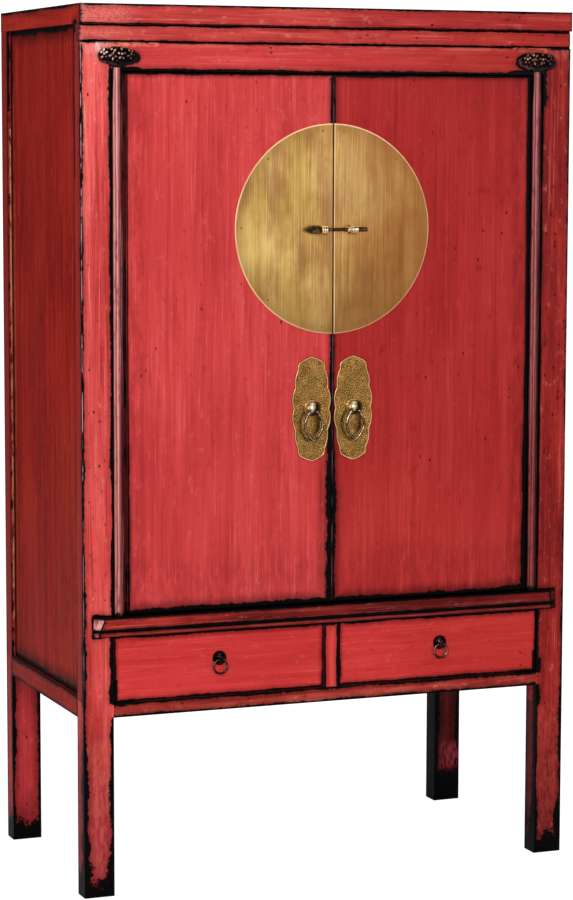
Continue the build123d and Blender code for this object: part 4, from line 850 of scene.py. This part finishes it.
# half outline of a handle plate, from its waist to its tip: cusps, and how far each lobe swells, mm
LOBES = [((42.0, 0.0), 4.9), ((38.8, 46.0), 3.1), ((32.0, 86.5), 1.4), ((28.8, 101.5), 1.5), ((0.0, 114.6), 0.0)]


def plate_loop():
    quarter = []
    for (p, swell), (q, _) in zip(LOBES[:-1], LOBES[1:]):
        dx, dz = q[0] - p[0], q[1] - p[1]
        ln = math.hypot(dx, dz)
        n = max(6, int(ln / 0.9))
        for i in range(n):
            f = i / n
            k = swell * 4 * f * (1 - f)
            quarter.append((p[0] + dx * f + dz / ln * k, p[1] + dz * f - dx / ln * k))
    tip = LOBES[-1][0]
    q1 = np.array(quarter)
    q2 = np.array([tip] + [(-x, z) for x, z in quarter[:0:-1]])
    up = np.vstack([q1, q2])                        # waist right -> tip -> nearly waist left
    return np.vstack([up, -up])


SPIRALS = [(k * u, m * v, r, k * m * h) for k in (-1, 1) for m in (-1, 1)
           for u, v, r, h in ((9.0, 100.0, 6.5, 1), (20.0, 92.0, 7.0, -1), (11.0, 83.0, 7.5, -1), (23.0, 74.0, 7.5, 1),
                              (13.0, 63.0, 8.0, 1), (27.0, 56.0, 7.5, -1), (12.0, 43.0, 8.5, -1), (28.0, 37.0, 8.5, 1),
                              (34.0, 18.0, 8.0, -1), (22.0, 22.0, 6.5, 1), (37.0, 3.0, 5.0, 1), (24.0, 6.0, 6.0, -1))]
FLOWERS = [(0.0, m * v, r) for m in (-1, 1) for v, r in ((105.0, 4.5), (91.0, 4.5), (73.0, 5.0), (53.0, 5.0), (30.0, 6.5))]


def engraving(u, v):
    """Height of a generic scroll and flower ground, mm, over the plate's face."""
    best = np.full(u.shape, 1e9)
    f = np.zeros(u.shape)
    for cu, cv, r, hand in SPIRALS:
        du, dv = u - cu, v - cv
        d = np.hypot(du, dv)
        g = np.cos(2 * np.pi * d / 4.4 - hand * np.arctan2(dv, du))
        take = d / r < best
        f = np.where(take, g, f)
        best = np.where(take, d / r, best)
    for cu, cv, r in FLOWERS:
        du, dv = u - cu, v - cv
        d = np.hypot(du, dv)
        a = np.arctan2(dv, du)
        g = np.where(d < 0.24 * r, 1.0, np.cos(6 * a) * 0.9 + np.cos(2 * np.pi * (d - 0.25 * r) / (0.75 * r)) * 0.5)
        take = d / r < best
        f = np.where(take, g, f)
        best = np.where(take, d / r, best)
    f = np.tanh(2.0 * f)
    # leaves in what the scrolls leave free
    fill = np.tanh(2.0 * np.cos(u * 1.25 + 0.5 * np.sin(v * 0.5)) * np.cos(v * 0.95 + 0.3 * u))
    k = np.clip((best - 0.95) / 0.25, 0, 1)
    return f * (1 - k) + fill * k


def engraved_plate(side, s):
    cx, cz = s * 49.0, 1037.5
    loop = plate_loop()
    n = len(loop)
    step = 1.05
    us = np.arange(-48.3, 48.31, step)
    vs = np.arange(-115, 115.01, step * 0.866)
    pts = np.array([(u + (step / 2 if j % 2 else 0.0), v) for j, v in enumerate(vs) for u in us])

    def dist_to_loop(p):
        a, b = loop, np.roll(loop, -1, axis=0)
        ab = b - a
        out = np.full(len(p), 1e9)
        for i in range(n):
            t_ = np.clip(((p - a[i]) @ ab[i]) / (ab[i] @ ab[i]), 0, 1)
            out = np.minimum(out, np.hypot(*(p - a[i] - t_[:, None] * ab[i]).T))
        return out

    def inside(p):
        a, b = loop, np.roll(loop, -1, axis=0)
        hit = np.zeros(len(p), bool)
        for i in range(n):
            c = (a[i][1] > p[:, 1]) != (b[i][1] > p[:, 1])
            with np.errstate(divide="ignore", invalid="ignore"):
                x = a[i][0] + (p[:, 1] - a[i][1]) * (b[i][0] - a[i][0]) / (b[i][1] - a[i][1])
            hit ^= c & (p[:, 0] < x)
        return hit

    pts = pts[inside(pts)]
    d = dist_to_loop(pts)
    pts, d = pts[d > 0.55], d[d > 0.55]
    co = [Vector(p) for p in loop] + [Vector(p) for p in pts]
    edges = [(i, (i + 1) % n) for i in range(n)]
    vco, _, faces, ov, _, _ = delaunay_2d_cdt(co, edges, [], 1, 1e-6)
    p = np.array([(q.x, q.y) for q in vco])
    d = dist_to_loop(p)
    u, v = p[:, 0], p[:, 1]
    rim = np.interp(d, [0.0, 0.6, 2.4, 3.2, 4.0, 4.8], [-0.6, 0.65, 0.70, -0.2, -0.2, 0.0])
    field = 0.30 * engraving(u + 0.8 * np.sin(v * 0.31), v + 0.8 * np.sin(u * 0.37))
    calm = np.clip((d - 4.4) / 1.2, 0, 1)
    for nu, nv, r in ((0, 104, 4.0), (0, -104, 4.0), (38, 18, 4.0), (-38, 18, 4.0), (0, 2, 17.5)):
        q = np.hypot(u - nu, v - nv)
        calm = calm * np.clip((q - r) / 1.5, 0, 1)
    h = rim + field * calm
    y = (-285.0 - h) / 1000
    front = [((cx + a) / 1000, b, (cz + c) / 1000) for a, b, c in zip(u, y, v)]
    ring = [next(i for i, o in enumerate(ov) if j in o) for j in range(n)]
    back = [((cx + a) / 1000, -0.283, (cz + c) / 1000) for a, c in loop]
    verts = front + back
    m = len(front)
    area2 = sum(u[f[i]] * v[f[(i + 1) % 3]] - u[f[(i + 1) % 3]] * v[f[i]] for f in faces[:1] for i in range(3))
    polys = [tuple(f) if area2 > 0 else tuple(reversed(f)) for f in faces]
    for i in range(n):
        j = (i + 1) % n
        polys.append((ring[i], m + i, m + j, ring[j]))
    polys.append(tuple(m + i for i in range(n)))
    me = bpy.data.meshes.new(f"engraved_{side}_plate")
    me.from_pydata(verts, [], polys)
    bm = bmesh.new()
    bm.from_mesh(me)
    bmesh.ops.recalc_face_normals(bm, faces=bm.faces)
    for f in bm.faces:
        f.smooth = len(f.verts) == 3
    bm.to_mesh(me)
    bm.free()
    return piece(f"engraved_{side}_plate", me, plate_mat, f"{side}_door", f"{side}_door_handle_plate")


for s, side in ((-1, "left"), (1, "right")):
    carved_block(side, s)
    engraved_plate(side, s)

# ------------------------------------------------------------------ stage, lights, camera
bpy.ops.mesh.primitive_plane_add(size=60.0, location=(0, 0, 0))
floor = bpy.context.object
floor.name = "floor"
t = Tree("pale_floor")
n = t.noise(t.at((0.7, 0.7, 0.7)), 1.0, 3.0)
t.put(t.bsdf.inputs["Base Color"], t.ramp(n, [(0.3, (0.84, 0.84, 0.84, 1)), (0.7, (0.88, 0.88, 0.88, 1))]))
t.bsdf.inputs["Roughness"].default_value = 0.75
t.bsdf.inputs["Specular IOR Level"].default_value = 0.1
glow = t.nt.nodes.new("ShaderNodeEmission")
glow.inputs[0].default_value = (1, 1, 1, 1)
glow.inputs[1].default_value = 1.15
lp = t.nt.nodes.new("ShaderNodeLightPath")
flat = t.v("LENGTH", t.v("MULTIPLY", t.P, (1.0, 1.0, 0.0)))
fade = t.m("MULTIPLY", lp.outputs["Is Camera Ray"], t.step(flat, 0.35, 1.15, 0.84, 1.0))
blend = t.nt.nodes.new("ShaderNodeMixShader")
t.put(blend.inputs[0], fade)
t.nt.links.new(t.bsdf.outputs[0], blend.inputs[1])
t.nt.links.new(glow.outputs[0], blend.inputs[2])
t.nt.links.new(blend.outputs[0], t.out.inputs["Surface"])
floor.data.materials.append(t.mat)

world = SCENE.world or bpy.data.worlds.new("studio")
SCENE.world = world
world.use_nodes = True
wt = world.node_tree
wt.nodes.clear()
wo = wt.nodes.new("ShaderNodeOutputWorld")
mixw = wt.nodes.new("ShaderNodeMixShader")
amb = wt.nodes.new("ShaderNodeBackground")
amb.inputs[0].default_value = (1.0, 0.99, 0.98, 1.0)
amb.inputs[1].default_value = 0.13
white = wt.nodes.new("ShaderNodeBackground")
white.inputs[0].default_value = (1, 1, 1, 1)
white.inputs[1].default_value = 1.15
lp = wt.nodes.new("ShaderNodeLightPath")
wt.links.new(lp.outputs["Is Camera Ray"], mixw.inputs[0])
wt.links.new(amb.outputs[0], mixw.inputs[1])
wt.links.new(white.outputs[0], mixw.inputs[2])
wt.links.new(mixw.outputs[0], wo.inputs[0])


def area(name, at, target, size, power, colour=(1, 1, 1)):
    data = bpy.data.lights.new(name, "AREA")
    data.shape = "RECTANGLE"
    data.size, data.size_y = size
    data.energy = power
    data.color = colour
    o = bpy.data.objects.new(name, data)
    SCENE.collection.objects.link(o)
    o.location = at
    o.rotation_euler = (Vector(target) - Vector(at)).to_track_quat("-Z", "Y").to_euler()
    return o


area("key", (-1.6, -3.3, 2.3), (-0.35, -0.285, 1.05), (1.3, 1.8), 70)
area("fill", (2.3, -4.2, 1.8), (0.2, -0.285, 1.0), (1.8, 2.4), 38)
area("side", (-4.0, -1.3, 1.9), (-0.57, 0.0, 1.0), (1.4, 2.0), 26)
area("top", (0.0, -0.8, 4.6), (0, 0, 0), (3.0, 3.0), 40)
area("back", (2.4, 4.6, 3.0), (0, 0, 1.0), (2.4, 2.4), 120)

cam_data = bpy.data.cameras.new("camera")
cam = bpy.data.objects.new("camera", cam_data)
SCENE.collection.objects.link(cam)
yaw, pitch, roll = 0.37946, 0.11252, 0.0025
fwd = Vector((math.sin(yaw), math.cos(yaw), 0.0))
right = Vector((math.cos(yaw), -math.sin(yaw), 0.0))
up = Vector((0, 0, 1))
f2 = fwd * math.cos(pitch) - up * math.sin(pitch)
u2 = up * math.cos(pitch) + fwd * math.sin(pitch)
r3 = right * math.cos(roll) + u2 * math.sin(roll)
u3 = u2 * math.cos(roll) - right * math.sin(roll)
rot = Matrix((r3, u3, -f2)).transposed()
cam.matrix_world = Matrix.Translation((-2.3495, -5.6224 + YF, 1.6345)) @ rot.to_4x4()
cam_data.sensor_fit = "AUTO"
cam_data.sensor_width = 36.0
cam_data.lens = 2811.35 / 900.0 * 36.0
cam_data.clip_end = 200.0
SCENE.camera = cam
